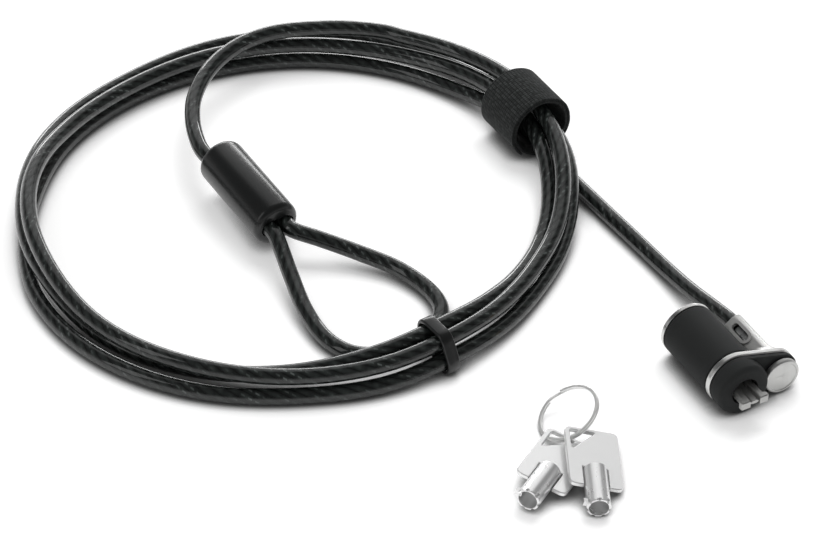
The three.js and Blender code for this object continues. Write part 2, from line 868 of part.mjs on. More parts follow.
// Straight lead from the fitting to the strap.
const coilFirst = coilCentres[0];
const coilHeading = coilCentres[1].clone().sub(coilFirst).normalize();
const leadX = lockX + lugX;
const leadZ = lockZ + lugZ;
const leadY = lockRearY - anchorRear - leadEntry;
const leadPoints = [
  point(leadX, leadY, leadZ),
  point(leadX, leadY + 5, leadZ),
  point(42.4, 33, 5.6),
  point(41.7, 43, 4.3),
  point(41.4, 57, 2.8),
  point(40.3, 77, 2.6),
  point(39.1, 95, 2.6),
  point(37.9, 112, 3.0),
  point(37.2, 122.5, 4.3),
  stepOn(coilFirst, coilHeading, -6),
  stepOn(coilFirst, coilHeading, -seat),
];
add(lock, 'cable_lead', cableAlong(leadPoints, 12), cableBlack);

// Moulded sleeve over the crimp; the tail enters beside its axis, both strands of the loop leave it.
const sleeveAxis = eyeSleeveMouth.clone().sub(eyeSleeveRear).normalize();
const sleeveSide = new THREE.Vector3(-sleeveAxis.y, sleeveAxis.x, 0).normalize();
const sleeveSpan = eyeSleeveMouth.distanceTo(eyeSleeveRear);
const inSleeve = (along, across) =>
  eyeSleeveRear.clone().addScaledVector(sleeveAxis, along).addScaledVector(sleeveSide, across);
const crimpEnd = crimpStart + crimpLength;
const strandOffset = crimpSpacing / 2;

function placeOnSleeve(geometry) {
  const down = new THREE.Vector3().crossVectors(sleeveSide, sleeveAxis);
  geometry.applyMatrix4(new THREE.Matrix4().makeBasis(sleeveSide, sleeveAxis, down));
  return geometry.translate(...eyeSleeveRear.toArray());
}

// Two round bores side by side, run together, between two places along the sleeve.
function doubleBore(radius, from, to) {
  const shape = roundedRect(crimpSpacing + 2 * radius, 2 * radius, radius - 0.01);
  const geometry = new THREE.ExtrudeGeometry(shape, { depth: to - from, bevelEnabled: false, curveSegments: 8 });
  return geometry.rotateX(-Math.PI / 2).translate(0, from, 0);
}

function filletedBarrel() {
  const profile = [[0, 0]];
  const arcSteps = 4;
  for (let i = 0; i <= arcSteps; i += 1) {
    const round = (i / arcSteps) * (Math.PI / 2);
    profile.push([
      eyeSleeveR - eyeSleeveFillet * (1 - Math.sin(round)),
      eyeSleeveFillet * (1 - Math.cos(round)),
    ]);
  }
  for (let i = arcSteps; i >= 0; i -= 1) {
    const round = (i / arcSteps) * (Math.PI / 2);
    profile.push([
      eyeSleeveR - eyeSleeveFillet * (1 - Math.sin(round)),
      sleeveSpan - eyeSleeveFillet * (1 - Math.cos(round)),
    ]);
  }
  profile.push([0, sleeveSpan]);
  return revolveY(profile, 36);
}
const crimpR = cableR + crimpWall;
add(
  lock,
  'eye_sleeve',
  placeOnSleeve(
    cut(
      filletedBarrel(),
      revolveY([[0, -1], [cableR + seat, -1], [cableR + seat, crimpStart], [0, crimpStart]], 20).translate(
        -strandOffset,
        0,
        0
      ),
      doubleBore(crimpR + seat, crimpStart - seat, crimpEnd + seat),
      doubleBore(cableR + seat, crimpEnd, sleeveSpan + 1)
    )
  ),
  glossBlack
);
add(lock, 'eye_crimp', placeOnSleeve(doubleBore(crimpR, crimpStart, crimpEnd)), aluminium);

// Tail from the end of the coil over the other strands to the sleeve.
const coilLast = coilCentres[coilSteps];
const coilLeaving = coilLast.clone().sub(coilCentres[coilSteps - 1]).normalize();
const tailPoints = [
  stepOn(coilLast, coilLeaving, seat),
  stepOn(coilLast, coilLeaving, 5.5),
  point(8.3, 197.6, 13.5),
  point(-0.7, 201.9, 13.9),
  point(-14.4, 206.6, 14.0),
  point(-25, 206.5, 14.0),
  point(-33.5, 203.9, 13.8),
  point(-40.3, 200.3, 13.4),
  point(-46.5, 195.2, 13.1),
  point(-52.8, 187.6, 12.9),
  point(-57.5, 178.5, 12.9),
  point(-60.2, 170.5, 13.0),
  inSleeve(-6, -strandOffset),
  inSleeve(0, -strandOffset),
  inSleeve(crimpStart - seat, -strandOffset),
];
add(lock, 'cable_tail', cableAlong(tailPoints, 20), cableBlack);

// End loop, from one strand in the sleeve round to the other, its far end under the coil.
const eyePoints = [
  inSleeve(crimpEnd + seat, -strandOffset),
  inSleeve(sleeveSpan, -strandOffset),
  inSleeve(sleeveSpan + 3, -strandOffset),
  point(-59.3, 114, 8.4),
  point(-61.2, 104, 6.2),
  point(-63.5, 90, 3.9),
  point(-63.4, 77, 2.8),
  point(-60.0, 68.6, 2.6),
  point(-54.2, 64.2, 2.6),
  point(-46.3, 62.9, 2.6),
  point(-38.6, 63.6, 2.6),
  point(-31.8, 67.0, 2.6),
  point(-27.0, 73.0, 2.6),
  point(-26.0, 81.5, 2.7),
  point(-29.9, 94.5, 3.5),
  point(-38.0, 105.3, 5.3),
  point(-46.4, 113.6, 7.8),
  inSleeve(sleeveSpan + 3, strandOffset),
  inSleeve(sleeveSpan, strandOffset),
  inSleeve(crimpEnd + seat, strandOffset),
];
add(lock, 'cable_eye', cableAlong(eyePoints, 24), cableBlack);

// ---------------------------------------------------------------- strap and clip
// Pushes a shape drawn across the bundle, [radius, height], along the coil at an angle.
function acrossBundle(shape, width, angle, segments = 12) {
  const turn = THREE.MathUtils.degToRad(angle);
  const outward = new THREE.Vector3(Math.cos(turn), Math.sin(turn), 0);
  const up = new THREE.Vector3(0, 0, 1);
  const along = new THREE.Vector3().crossVectors(outward, up);
  const geometry = new THREE.ExtrudeGeometry(shape, { depth: width, bevelEnabled: false, curveSegments: segments });
  geometry.translate(0, 0, -width / 2);
  geometry.applyMatrix4(new THREE.Matrix4().makeBasis(outward, up, along));
  return geometry.translate(coilX, coilY, 0);
}

function band(inner, outer, centreR, centreZ, from, to) {
  const shape = new THREE.Shape();
  const full = to - from > 2 * Math.PI - 0.01;
  if (full) {
    shape.absarc(centreR, centreZ, outer, 0, 2 * Math.PI, false);
    const hole = new THREE.Path();
    hole.absarc(centreR, centreZ, inner, 0, 2 * Math.PI, true);
    shape.holes.push(hole);
    return shape;
  }
  shape.absarc(centreR, centreZ, outer, from, to, false);
  shape.absarc(centreR, centreZ, inner, to, from, true);
  return shape;
}
const strapOuterR = strapR + 2 * strapThick + seat;
const strapZ = strapOuterR;
const strapLap = [-2.4, 3.2]; // radians round the bundle that the outer layer covers
add(
  lock,
  'strap_inner',
  acrossBundle(
    band(strapR, strapR + strapThick, strapCentreR, strapZ, 0, 2 * Math.PI),
    strapWidth,
    strapAngle,
    20
  ),
  strapBlack
);
add(
  lock,
  'strap_outer',
  acrossBundle(
    band(strapR + strapThick + seat, strapOuterR, strapCentreR, strapZ, ...strapLap),
    strapWidth,
    strapAngle,
    28
  ),
  strapBlack
);

// Moulded clip that hugs the three strands.
const clipAngle = coilStart + (clipTurn * 360) / coilStepsPerTurn;
const clipStrands = [1, 0, 2].map((turn) => onRoute(clipAngle + 360 * turn));
const clipShape = roundHull(clipStrands, cableR + clipFit + clipThick);
clipShape.holes.push(new THREE.Path(roundHull(clipStrands, cableR + clipFit).getPoints(8)));
add(lock, 'coil_clip', acrossBundle(clipShape, clipWidth, clipAngle, 8), glossBlack);

// ---------------------------------------------------------------- keys
// Bow: flat plate with a slot for the tube at one end and a three-cornered hole for the ring at the other.
function keyBow() {
  const half = keyBowWidth / 2;
  const near = keyNeck;
  const far = keyNeck + keyBowLength;
  const slotHalf = keyTubeR + seat;
  const slotEnd = keyTubeLength + seat;
  const r = keyBowCorner;
  const shape = new THREE.Shape();
  shape.moveTo(slotHalf, near);
  shape.lineTo(half - r, near);
  shape.quadraticCurveTo(half, near, half, near + r);
  shape.lineTo(half, far - r);
  shape.quadraticCurveTo(half, far, half - r, far);
  shape.lineTo(-half + r, far);
  shape.quadraticCurveTo(-half, far, -half, far - r);
  shape.lineTo(-half, near + r);
  shape.quadraticCurveTo(-half, near, -half + r, near);
  shape.lineTo(-slotHalf, near);
  shape.lineTo(-slotHalf, slotEnd);
  shape.lineTo(slotHalf, slotEnd);
  shape.closePath();
  const round = bowHoleRound;
  const cornerX = -half + bowHoleSide;
  const cornerY = far - bowHoleEnd;
  const hole = new THREE.Path();
  hole.moveTo(cornerX, cornerY - round);
  hole.quadraticCurveTo(cornerX, cornerY, cornerX + round, cornerY);
  hole.lineTo(cornerX + bowHoleAcross - 2 * round, cornerY);
  hole.quadraticCurveTo(cornerX + bowHoleAcross, cornerY, cornerX + bowHoleAcross - round, cornerY - round);
  hole.lineTo(cornerX + round, cornerY - bowHoleAlong + round);
  hole.quadraticCurveTo(cornerX, cornerY - bowHoleAlong, cornerX, cornerY - bowHoleAlong + 2 * round);
  hole.closePath();
  shape.holes.push(hole);
  const bevel = 0.2;
  return new THREE.ExtrudeGeometry(shape, {
    depth: keyBowThick - 2 * bevel,
    bevelThickness: bevel,
    bevelSize: bevel,
    bevelOffset: -bevel,
    bevelSegments: 1,
    curveSegments: 4,
  }).translate(0, 0, bevel - keyBowThick / 2);
}

// Tube: bored at its mouth, cut round its rim for the pins, with the lug that turns the plug.
function keyTube() {
  const bore = keyTubeR - keyTubeWall;
  const blank = revolveY(
    [
      [0, keyBoreDepth],
      [bore, keyBoreDepth],
      [bore, 0],
      [keyTubeR - 0.15, 0],
      [keyTubeR, 0.15],
      [keyTubeR, keyTubeLength - 0.3],
      [keyTubeR - 0.3, keyTubeLength],
      [0, keyTubeLength],
    ],
    32
  );
  const lug = new THREE.BoxGeometry(keyLugRise + keyTubeWall + 0.5, keyLugLength, keyLugWidth);
  lug.translate(-keyTubeR - (keyLugRise - keyTubeWall - 0.5) / 2, keyLugLength / 2 + 0.8, 0);
  const cuts = bittingDepths.map((depth, i) => {
    const angle = Math.PI + ((i + 0.5) / pinCount) * 2 * Math.PI;
    const tool = new THREE.CylinderGeometry(0.7, 0.7, depth + 1, 10).translate(0, (depth - 1) / 2, 0);
    return tool.translate((keyTubeR + 0.1) * Math.cos(angle), 0, (keyTubeR + 0.1) * Math.sin(angle));
  });
  return cut(join(blank, lug), ...cuts);
}

for (const { name, mouth, heading, pitch, roll } of keyPoses) {
  const key = new THREE.Group();
  key.position.set(...mouth);
  key.rotation.set(
    THREE.MathUtils.degToRad(pitch),
    THREE.MathUtils.degToRad(roll),
    THREE.MathUtils.degToRad(heading),
    'ZXY'
  );
  lock.add(key);
  add(key, `${name}_bow`, keyBow(), plated);
  add(key, `${name}_tube`, keyTube(), plated);
}

// Split ring: two turns of flat wire, stepping from one layer to the other between its ends.
function splitRing() {
  const turns = 720 - ringSplit;
  const steps = 58;
  const layer = (ringWire + ringLayerGap) / 2;
  const middle = ringR - ringWidth / 2;
  const rings = [];
  for (let k = 0; k <= steps; k += 1) {
    const degrees = (k / steps) * turns;
    const cross = THREE.MathUtils.smoothstep(degrees, 360 - ringSplit, 360);
    const height = layer * (2 * cross - 1);
    const turn = THREE.MathUtils.degToRad(degrees);
    const corners = [
      [-ringWidth / 2, -ringWire / 2],
      [ringWidth / 2, -ringWire / 2],
      [ringWidth / 2, ringWire / 2],
      [-ringWidth / 2, ringWire / 2],
    ];
    rings.push(
      corners.map(([out, rise]) =>
        new THREE.Vector3((middle + out) * Math.cos(turn), (middle + out) * Math.sin(turn), height + rise)
      )
    );
  }
  const reversed = rings.map((ring) => ring.reverse());
  return skin(reversed);
}
const ring = new THREE.Group();
ring.position.copy(ringCentre);
const ringUp = new THREE.Vector3(-ringSlope[0], -ringSlope[1], 1).normalize();
const ringAcross = new THREE.Vector3(-0.26, 0.966, 0);
ringAcross.addScaledVector(ringUp, -ringAcross.dot(ringUp)).normalize();
const ringThird = new THREE.Vector3().crossVectors(ringUp, ringAcross);
ring.quaternion.setFromRotationMatrix(new THREE.Matrix4().makeBasis(ringAcross, ringThird, ringUp));
lock.add(ring);
add(ring, 'key_ring', splitRing(), plated);

export default lock;
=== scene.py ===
# %% [markdown]
# A cable lock for a laptop, laid out on a pale table: a round lock head with a steel tip, two metres of
# coated steel cable in a loose coil, a moulded sleeve that closes the cable's end loop, a hook-and-loop
# strap, a small clip, and two tubular keys on a split ring. The solid model gives the sizes and places in one
# shared frame, in metres. Here the pieces get rounded edges, smooth shading and a finish for each.

import json
import math

import bmesh
import bpy
from mathutils import Matrix, Vector


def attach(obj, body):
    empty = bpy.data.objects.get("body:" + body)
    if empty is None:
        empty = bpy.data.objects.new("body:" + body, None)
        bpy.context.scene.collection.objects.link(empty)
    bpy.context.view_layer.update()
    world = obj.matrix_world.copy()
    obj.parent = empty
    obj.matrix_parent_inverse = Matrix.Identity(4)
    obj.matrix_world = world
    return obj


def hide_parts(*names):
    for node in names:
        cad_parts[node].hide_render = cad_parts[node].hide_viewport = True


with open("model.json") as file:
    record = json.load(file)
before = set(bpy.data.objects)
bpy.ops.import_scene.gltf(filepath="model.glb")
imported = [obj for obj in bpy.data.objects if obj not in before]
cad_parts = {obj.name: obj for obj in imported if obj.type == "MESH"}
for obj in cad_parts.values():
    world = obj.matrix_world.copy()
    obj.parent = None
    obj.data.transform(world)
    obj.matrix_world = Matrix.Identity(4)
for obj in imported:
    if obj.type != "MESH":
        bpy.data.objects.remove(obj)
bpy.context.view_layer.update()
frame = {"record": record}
MM = 0.001
SHIFT = Vector((-0.49, -0.21, 0.0)) * MM  # the drawing's zero point, seen from the frame's origin


def at(x, y, z):
    """A point of the drawing, in millimetres, as a place in the frame, in metres."""
    return Vector((x, y, z)) * MM + SHIFT


# %% [markdown]
# The camera stands far away with a long lens, 40 degrees above the table, so that the coil is a calm oval. A
# short lens close by would swell the near side of the coil.

# %% Camera
CAMERA_HEADING, CAMERA_TILT = -28.5, 50  # degrees round the vertical, and up from looking straight down
CAMERA_DISTANCE = 1.1

camera_data = bpy.data.cameras.new("camera")
camera = bpy.data.objects.new("camera", camera_data)
bpy.context.scene.collection.objects.link(camera)
bpy.context.scene.camera = camera
camera_aim = Matrix.Translation(at(-24.6, 96.8, 0))
heading = Matrix.Rotation(math.radians(CAMERA_HEADING), 4, "Z")
tilt = Matrix.Rotation(math.radians(CAMERA_TILT), 4, "X")
camera.matrix_world = camera_aim @ (heading @ tilt) @ Matrix.Translation((0, 0, CAMERA_DISTANCE))
camera_data.lens = 159.4
camera_data.sensor_width = 36
camera_data.clip_start = 0.05
camera_data.clip_end = 20
print("camera stands at", [round(v, 3) for v in camera.matrix_world.translation])

# %% [markdown]
# The cable never stops between the lock head and the moulded sleeve, so its route is one list of points: the
# straight lead, three turns and a bit round the coil, and the tail that crosses the coil. The coil's stations
# give an angle round its centre, the distance from that centre and the height above the table. A strand that
# crosses another one climbs over it, so the heights change where the strands cross.

# %% The cable's route
CABLE_R = 2.5
COIL_X, COIL_Y = -45.8, 132.2
COIL_START, COIL_SPAN = 3.2, 1116  # degrees: where the coil starts, and how far it runs round
HEADING_STEP, ROUTE_STEP = 12, 3.0  # degrees: over which a heading is taken, and between two path points
LEAD_IN, TAIL_OUT = 6, 5.5  # straight cable before and after the coil
COIL_ROUTE = [
    (3.2, 82.6, 5.1), (12, 81.9, 5.0), (24, 81.2, 3.4), (38, 81.3, 2.6), (56, 81.0, 2.6),
    (80, 80.5, 2.6), (104, 80.9, 2.6), (125, 81.5, 2.6), (144, 81.2, 2.6), (165, 83.0, 2.6),
    (177, 84.6, 2.6), (196, 85.2, 2.6), (220, 84.0, 2.6), (244, 81.8, 2.6), (262, 82.3, 3.0),
    (279.2, 81.8, 4.25), (294, 81.3, 3.1), (307, 81.2, 2.7), (321, 83.0, 3.4), (331, 84.5, 4.9),
    (340, 86.0, 8.0), (350, 87.5, 8.8), (363.2, 88.5, 8.7), (372, 89.0, 7.0), (380, 89.9, 4.6),
    (396, 91.5, 3.2), (416, 93.4, 3.0), (436, 92.3, 3.0), (460, 88.2, 3.4), (480, 86.6, 4.8),
    (495, 84.7, 7.0), (510, 83.0, 8.1), (525, 82.0, 8.2), (537, 80.4, 6.6), (556, 78.7, 3.4),
    (580, 76.3, 3.5), (604, 74.1, 5.2), (622, 73.8, 8.0), (639.2, 73.2, 9.1), (654, 73.4, 7.0),
    (668, 74.2, 4.2), (682, 76.2, 3.2), (691, 77.8, 4.4), (701, 79.4, 7.0), (708, 80.5, 9.0),
    (715, 81.3, 10.2), (723.2, 82.0, 10.8), (732, 82.9, 10.4), (744, 83.9, 8.8), (758, 82.9, 8.0),
    (776, 82.0, 7.9), (800, 80.6, 8.3), (824, 79.4, 8.5), (845, 79.8, 10.0), (860, 80.4, 12.6),
    (872, 80.7, 13.6), (885, 80.5, 13.6), (897, 80.1, 12.2), (916, 80.0, 9.0), (940, 79.9, 8.6),
    (964, 79.5, 8.0), (982, 79.6, 8.4), (999.2, 79.0, 9.2), (1014, 78.7, 8.5), (1028, 78.9, 8.0),
    (1042, 80.9, 9.0), (1051, 82.1, 10.6), (1061, 83.4, 13.6), (1072, 84.8, 14.7), (1083.2, 85.9, 14.9),
    (1092, 86.8, 14.4), (1104, 87.3, 13.2), (1115, 86.2, 13.1), (1120, 85.9, 13.1),
]


def bend(s, start, slope_in, end, slope_out):
    """A cubic curve from start to end with a slope at each, at the share s of the way."""
    return (
        start * (2 * s**3 - 3 * s**2 + 1)
        + slope_in * (s**3 - 2 * s**2 + s)
        + end * (3 * s**2 - 2 * s**3)
        + slope_out * (s**3 - s**2)
    )


def on_route(angle):
    """Distance from the coil's centre and height at any angle, on a smooth curve through the stations."""
    k = 1
    while k < len(COIL_ROUTE) - 2 and COIL_ROUTE[k][0] < angle:
        k += 1
    before, start, end = COIL_ROUTE[max(k - 2, 0)], COIL_ROUTE[k - 1], COIL_ROUTE[k]
    after = COIL_ROUTE[min(k + 1, len(COIL_ROUTE) - 1)]
    span = end[0] - start[0]
    values = []
    for column in (1, 2):
        slope_in = (end[column] - before[column]) / (end[0] - before[0]) * span
        slope_out = (after[column] - start[column]) / (after[0] - start[0]) * span
        values.append(bend((angle - start[0]) / span, start[column], slope_in, end[column], slope_out))
    return values


def coil_point(angle):
    """Centre of the cable at an angle round the coil, in the drawing's millimetres."""
    radius, height = on_route(angle)
    turn = math.radians(angle)
    return Vector((COIL_X + radius * math.cos(turn), COIL_Y + radius * math.sin(turn), height))


def smooth_through(points, per_span=8):
    """Points on a centripetal curve through a few given points, which doesn't swing between them."""
    first = points[0] * 2 - points[1]
    last = points[-1] * 2 - points[-2]
    stations = [first, *points, last]
    smooth = []
    for p0, p1, p2, p3 in zip(stations, stations[1:], stations[2:], stations[3:]):
        d0, d1, d2 = (max((b - a).length, 1e-6) ** 0.5 for a, b in ((p0, p1), (p1, p2), (p2, p3)))
        slope_in = ((p1 - p0) / d0 - (p2 - p0) / (d0 + d1) + (p2 - p1) / d1) * d1
        slope_out = ((p2 - p1) / d1 - (p3 - p1) / (d1 + d2) + (p3 - p2) / d2) * d1
        smooth += [bend(i / per_span, p1, slope_in, p2, slope_out) for i in range(per_span)]
    smooth.append(points[-1])
    return smooth


def drawn(*coordinates):
    return [Vector(c) for c in coordinates]


coil_end = COIL_START + COIL_SPAN
coil_first = coil_point(COIL_START)
coil_heading = (coil_point(COIL_START + HEADING_STEP) - coil_first).normalized()
coil_last = coil_point(coil_end)
coil_leaving = (coil_last - coil_point(coil_end - HEADING_STEP)).normalized()

lead = drawn(
    (43.2, 19.1, 6.4), (43.2, 24.1, 6.4), (42.4, 33, 5.6), (41.7, 43, 4.3), (41.4, 57, 2.8),
    (40.3, 77, 2.6), (39.1, 95, 2.6), (37.9, 112, 3.0), (37.2, 122.5, 4.3),
)
lead += [coil_first - coil_heading * LEAD_IN, coil_first]
tail = [coil_last, coil_last + coil_leaving * TAIL_OUT]
tail += drawn(
    (8.3, 197.6, 13.5), (-0.7, 201.9, 13.9), (-14.4, 206.6, 14.0), (-25, 206.5, 14.0), (-33.5, 203.9, 13.8),
    (-40.3, 200.3, 13.4), (-46.5, 195.2, 13.1), (-52.8, 187.6, 12.9), (-57.5, 178.5, 12.9),
    (-60.2, 170.5, 13.0),
)

# %% [markdown]
# The end loop is made by folding the cable back on itself and crimping both strands in one sleeve. The
# sleeve's axis runs between two points, and both strands stand off it by half their spacing.

# %% The end sleeve's axis and the loop's route
SLEEVE_REAR = Vector((-58.3, 158.3, 12.5))
SLEEVE_MOUTH = Vector((-56.0, 122.8, 10.0))
STRAND_OFFSET = 5.5 / 2
CRIMP_START, CRIMP_END, CRIMP_GAP = 8.8, 26.8, 0.3
STRAIGHT_IN, STRAIGHT_OUT = 6, 3  # straight cable before the sleeve and past its mouth
sleeve_axis = (SLEEVE_MOUTH - SLEEVE_REAR).normalized()
sleeve_side = Vector((-sleeve_axis.y, sleeve_axis.x, 0)).normalized()
sleeve_span = (SLEEVE_MOUTH - SLEEVE_REAR).length


def in_sleeve(along, across):
    return SLEEVE_REAR + sleeve_axis * along + sleeve_side * across


mouth_stations = (CRIMP_END + CRIMP_GAP, sleeve_span, sleeve_span + STRAIGHT_OUT)
tail += [in_sleeve(s, -STRAND_OFFSET) for s in (-STRAIGHT_IN, 0, CRIMP_START - CRIMP_GAP)]
loop = [in_sleeve(s, -STRAND_OFFSET) for s in mouth_stations]
loop += drawn(
    (-59.3, 114, 8.4), (-61.2, 104, 6.2), (-63.5, 90, 3.9), (-63.4, 77, 2.8), (-60.0, 68.6, 2.6),
    (-54.2, 64.2, 2.6), (-46.3, 62.9, 2.6), (-38.6, 63.6, 2.6), (-31.8, 67.0, 2.6), (-27.0, 73.0, 2.6),
    (-26.0, 81.5, 2.7), (-29.9, 94.5, 3.5), (-38.0, 105.3, 5.3), (-46.4, 113.6, 7.8),
)
loop += [in_sleeve(s, STRAND_OFFSET) for s in reversed(mouth_stations)]

path_steps = int((coil_end - COIL_START) / ROUTE_STEP)
coil_points = [coil_point(COIL_START + i * ROUTE_STEP) for i in range(1, path_steps)]
cable_path = [at(*p) for p in smooth_through(lead) + coil_points + smooth_through(tail)]
loop_path = [at(*p) for p in smooth_through(loop)]


def path_length(points):
    return sum((b - a).length for a, b in zip(points, points[1:]))


print(f"cable {path_length(cable_path):.3f} m to the sleeve, loop {path_length(loop_path):.3f} m")

# %% [markdown]
# The sweep that gives the cable its body is a node tree, and so is every finish. One helper sets or joins
# named sockets, one adds a node, one does a step of arithmetic and one starts a group.

# %% Helpers for node trees
def fill(tree, sockets, values):
    """Sets each named socket to a plain value or colour, or joins it to another node's output."""
    for label, value in values.items():
        if isinstance(value, bpy.types.NodeSocket):
            tree.links.new(value, sockets[label])
        else:
            sockets[label].default_value = (*value, 1) if sockets[label].type == "RGBA" else value


def add(tree, kind, inputs=None, **settings):
    """A new node with its settings and inputs."""
    node = tree.nodes.new(kind)
    for label, value in settings.items():
        setattr(node, label, value)
    fill(tree, node.inputs, inputs or {})
    return node


def math_node(tree, operation, *values, clamp=False):
    inputs = dict(enumerate(values))
    return add(tree, "ShaderNodeMath", inputs, operation=operation, use_clamp=clamp).outputs[0]


def new_group(name, kind, inputs, outputs):
    """A node group, with the sockets it is given and those it has to fill."""
    tree = bpy.data.node_groups.new(name, kind)
    for direction, sockets in (("INPUT", inputs), ("OUTPUT", outputs)):
        for label, socket in sockets.items():
            tree.interface.new_socket(label, in_out=direction, socket_type=f"NodeSocket{socket}")
    return tree, tree.nodes.new("NodeGroupInput").outputs, tree.nodes.new("NodeGroupOutput").inputs


# %% [markdown]
# A cable is one round section swept along its route. The tree stores a UV map on the way: U is the length in
# units of ten millimetres and V runs once round, so the steel rope's twist can be drawn on it. The section is
# an open arc whose two ends meet, so V reaches 1 at the seam.

# %% A tree that sweeps a cable
CABLE_SIDES = 24
UV_UNIT = 10  # millimetres of cable for one unit of its UV map


def capture(tree, geometry, label, reading):
    """Keeps a reading of the spline as a value on its points."""
    node = tree.nodes.new("GeometryNodeCaptureAttribute")
    node.capture_items.new("FLOAT", label)
    parameter = add(tree, "GeometryNodeSplineParameter")
    fill(tree, node.inputs, {"Geometry": geometry, label: parameter.outputs[reading]})
    return node.outputs["Geometry"], node.outputs[label]


def cable_tree():
    tree, given, result = new_group(
        "cable on a path",
        "GeometryNodeTree",
        {"Geometry": "Geometry", "Radius": "Float", "Sides": "Int", "Material": "Material"},
        {"Geometry": "Geometry"},
    )
    upright = add(tree, "GeometryNodeSetCurveNormal", {"Curve": given["Geometry"]}, mode="Z_UP")
    path, along = capture(tree, upright.outputs["Curve"], "Along", "Length")
    points = math_node(tree, "ADD", given["Sides"], 1)
    circle = {"Resolution": points, "Radius": given["Radius"], "Sweep Angle": 2 * math.pi}
    arc = add(tree, "GeometryNodeCurveArc", circle)
    section, around = capture(tree, arc.outputs["Curve"], "Around", "Factor")
    sweep = add(tree, "GeometryNodeCurveToMesh", {"Curve": path, "Profile Curve": section})
    length = math_node(tree, "MULTIPLY", along, 1 / (UV_UNIT * MM))
    place = add(tree, "ShaderNodeCombineXYZ", {"X": length, "Y": around})
    store = add(
        tree,
        "GeometryNodeStoreNamedAttribute",
        {"Geometry": sweep.outputs["Mesh"], "Name": "UVMap", "Value": place.outputs["Vector"]},
        data_type="FLOAT2",
        domain="CORNER",
    )
    weld = add(tree, "GeometryNodeMergeByDistance", {"Geometry": store.outputs["Geometry"], "Distance": 1e-6})
    smooth = add(tree, "GeometryNodeSetShadeSmooth", {"Geometry": weld.outputs["Geometry"]})
    realize = add(tree, "GeometryNodeRealizeInstances", {"Geometry": smooth.outputs["Geometry"]})
    coated = {"Geometry": realize.outputs["Geometry"], "Material": given["Material"]}
    fill(tree, result, {"Geometry": add(tree, "GeometryNodeSetMaterial", coated).outputs["Geometry"]})
    return tree


def grow(name, start, tree, values):
    """Runs a tree on an object and keeps the result as a plain mesh object at the origin."""
    modifier = start.modifiers.new("grow", "NODES")
    modifier.node_group = tree
    sockets = {item.name: item.identifier for item in tree.interface.items_tree if item.in_out == "INPUT"}
    for label, value in values.items():
        modifier[sockets[label]] = value
    graph = bpy.context.evaluated_depsgraph_get()
    mesh = bpy.data.meshes.new_from_object(start.evaluated_get(graph), depsgraph=graph)
    bpy.data.objects.remove(start)
    piece = bpy.data.objects.new(name, mesh)
    bpy.context.scene.collection.objects.link(piece)
    point_outward(mesh)
    print(f"{name}: {len(mesh.polygons)} faces")
    return piece


def point_outward(mesh):
    """Turns the faces outward when the signed volume says that they point in."""
    work = bmesh.new()
    work.from_mesh(mesh)
    if work.calc_volume(signed=True) < 0:
        bmesh.ops.reverse_faces(work, faces=work.faces)
    work.to_mesh(mesh)
    work.free()


def path_curve(name, points):
    data = bpy.data.curves.new(name, "CURVE")
    data.dimensions = "3D"
    spline = data.splines.new("POLY")
    spline.points.add(len(points) - 1)
    for place, point in zip(spline.points, points):
        place.co = (*point, 1)
    curve = bpy.data.objects.new(name, data)
    bpy.context.scene.collection.objects.link(curve)
    return curve


# %% [markdown]
# Finishes come next. Two effects serve several of them, so each is a node group: a fine grain, which moulded
# rubber, plastic and cast metal all have at their own scale, and brushing, the fine lines that polishing
# leaves.

# %% Shared surface effects
CLOUD_SCALE = 60  # of the slow drift in tone and gloss
LINE_GAIN, LINE_OFFSET = 1.8, -0.4  # contrast of the brushed lines


def noise(tree, vector, scale, detail=2, dimensions="3D"):
    inputs = {"Vector": vector, "Scale": scale, "Detail": detail}
    return add(tree, "ShaderNodeTexNoise", inputs, noise_dimensions=dimensions).outputs["Fac"]


def map_range(tree, value, low, high, start=0, end=1, smooth=False):
    """A value moved from the range start..end to low..high, and held inside it."""
    inputs = {"Value": value, "From Min": start, "From Max": end, "To Min": low, "To Max": high}
    blend = "SMOOTHSTEP" if smooth else "LINEAR"
    return add(tree, "ShaderNodeMapRange", inputs, interpolation_type=blend).outputs["Result"]


def mix(tree, kind, factor, a, b):
    """A blend of two numbers or two colours."""
    return add(tree, "ShaderNodeMix", {"Factor": factor, "A": a, "B": b}, data_type=kind).outputs["Result"]


def relief(tree, height, strength, distance):
    inputs = {"Height": height, "Strength": strength, "Distance": distance}
    return add(tree, "ShaderNodeBump", inputs).outputs["Normal"]


def grain_group():
    given_kinds = {"Vector": "Vector", "Scale": "Float"}
    result_kinds = {"Height": "Float", "Clouds": "Float"}
    group, given, result = new_group("fine grain", "ShaderNodeTree", given_kinds, result_kinds)
    fine = noise(group, given["Vector"], given["Scale"], detail=3)
    clouds = noise(group, given["Vector"], CLOUD_SCALE)
    fill(group, result, {"Height": fine, "Clouds": clouds})
    return group


def brushing_group():
    given_kinds = {"Vector": "Vector", "Stretch": "Vector"}
    result_kinds = {"Height": "Float", "Lines": "Float"}
    group, given, result = new_group("brushing", "ShaderNodeTree", given_kinds, result_kinds)
    factors = {0: given["Vector"], 1: given["Stretch"]}
    stretched = add(group, "ShaderNodeVectorMath", factors, operation="MULTIPLY")
    lines = noise(group, stretched.outputs["Vector"], scale=1)
    contrast = math_node(group, "MULTIPLY_ADD", lines, LINE_GAIN, LINE_OFFSET, clamp=True)
    fill(group, result, {"Height": lines, "Lines": contrast})
    return group


FINE_GRAIN = grain_group()
BRUSHING = brushing_group()


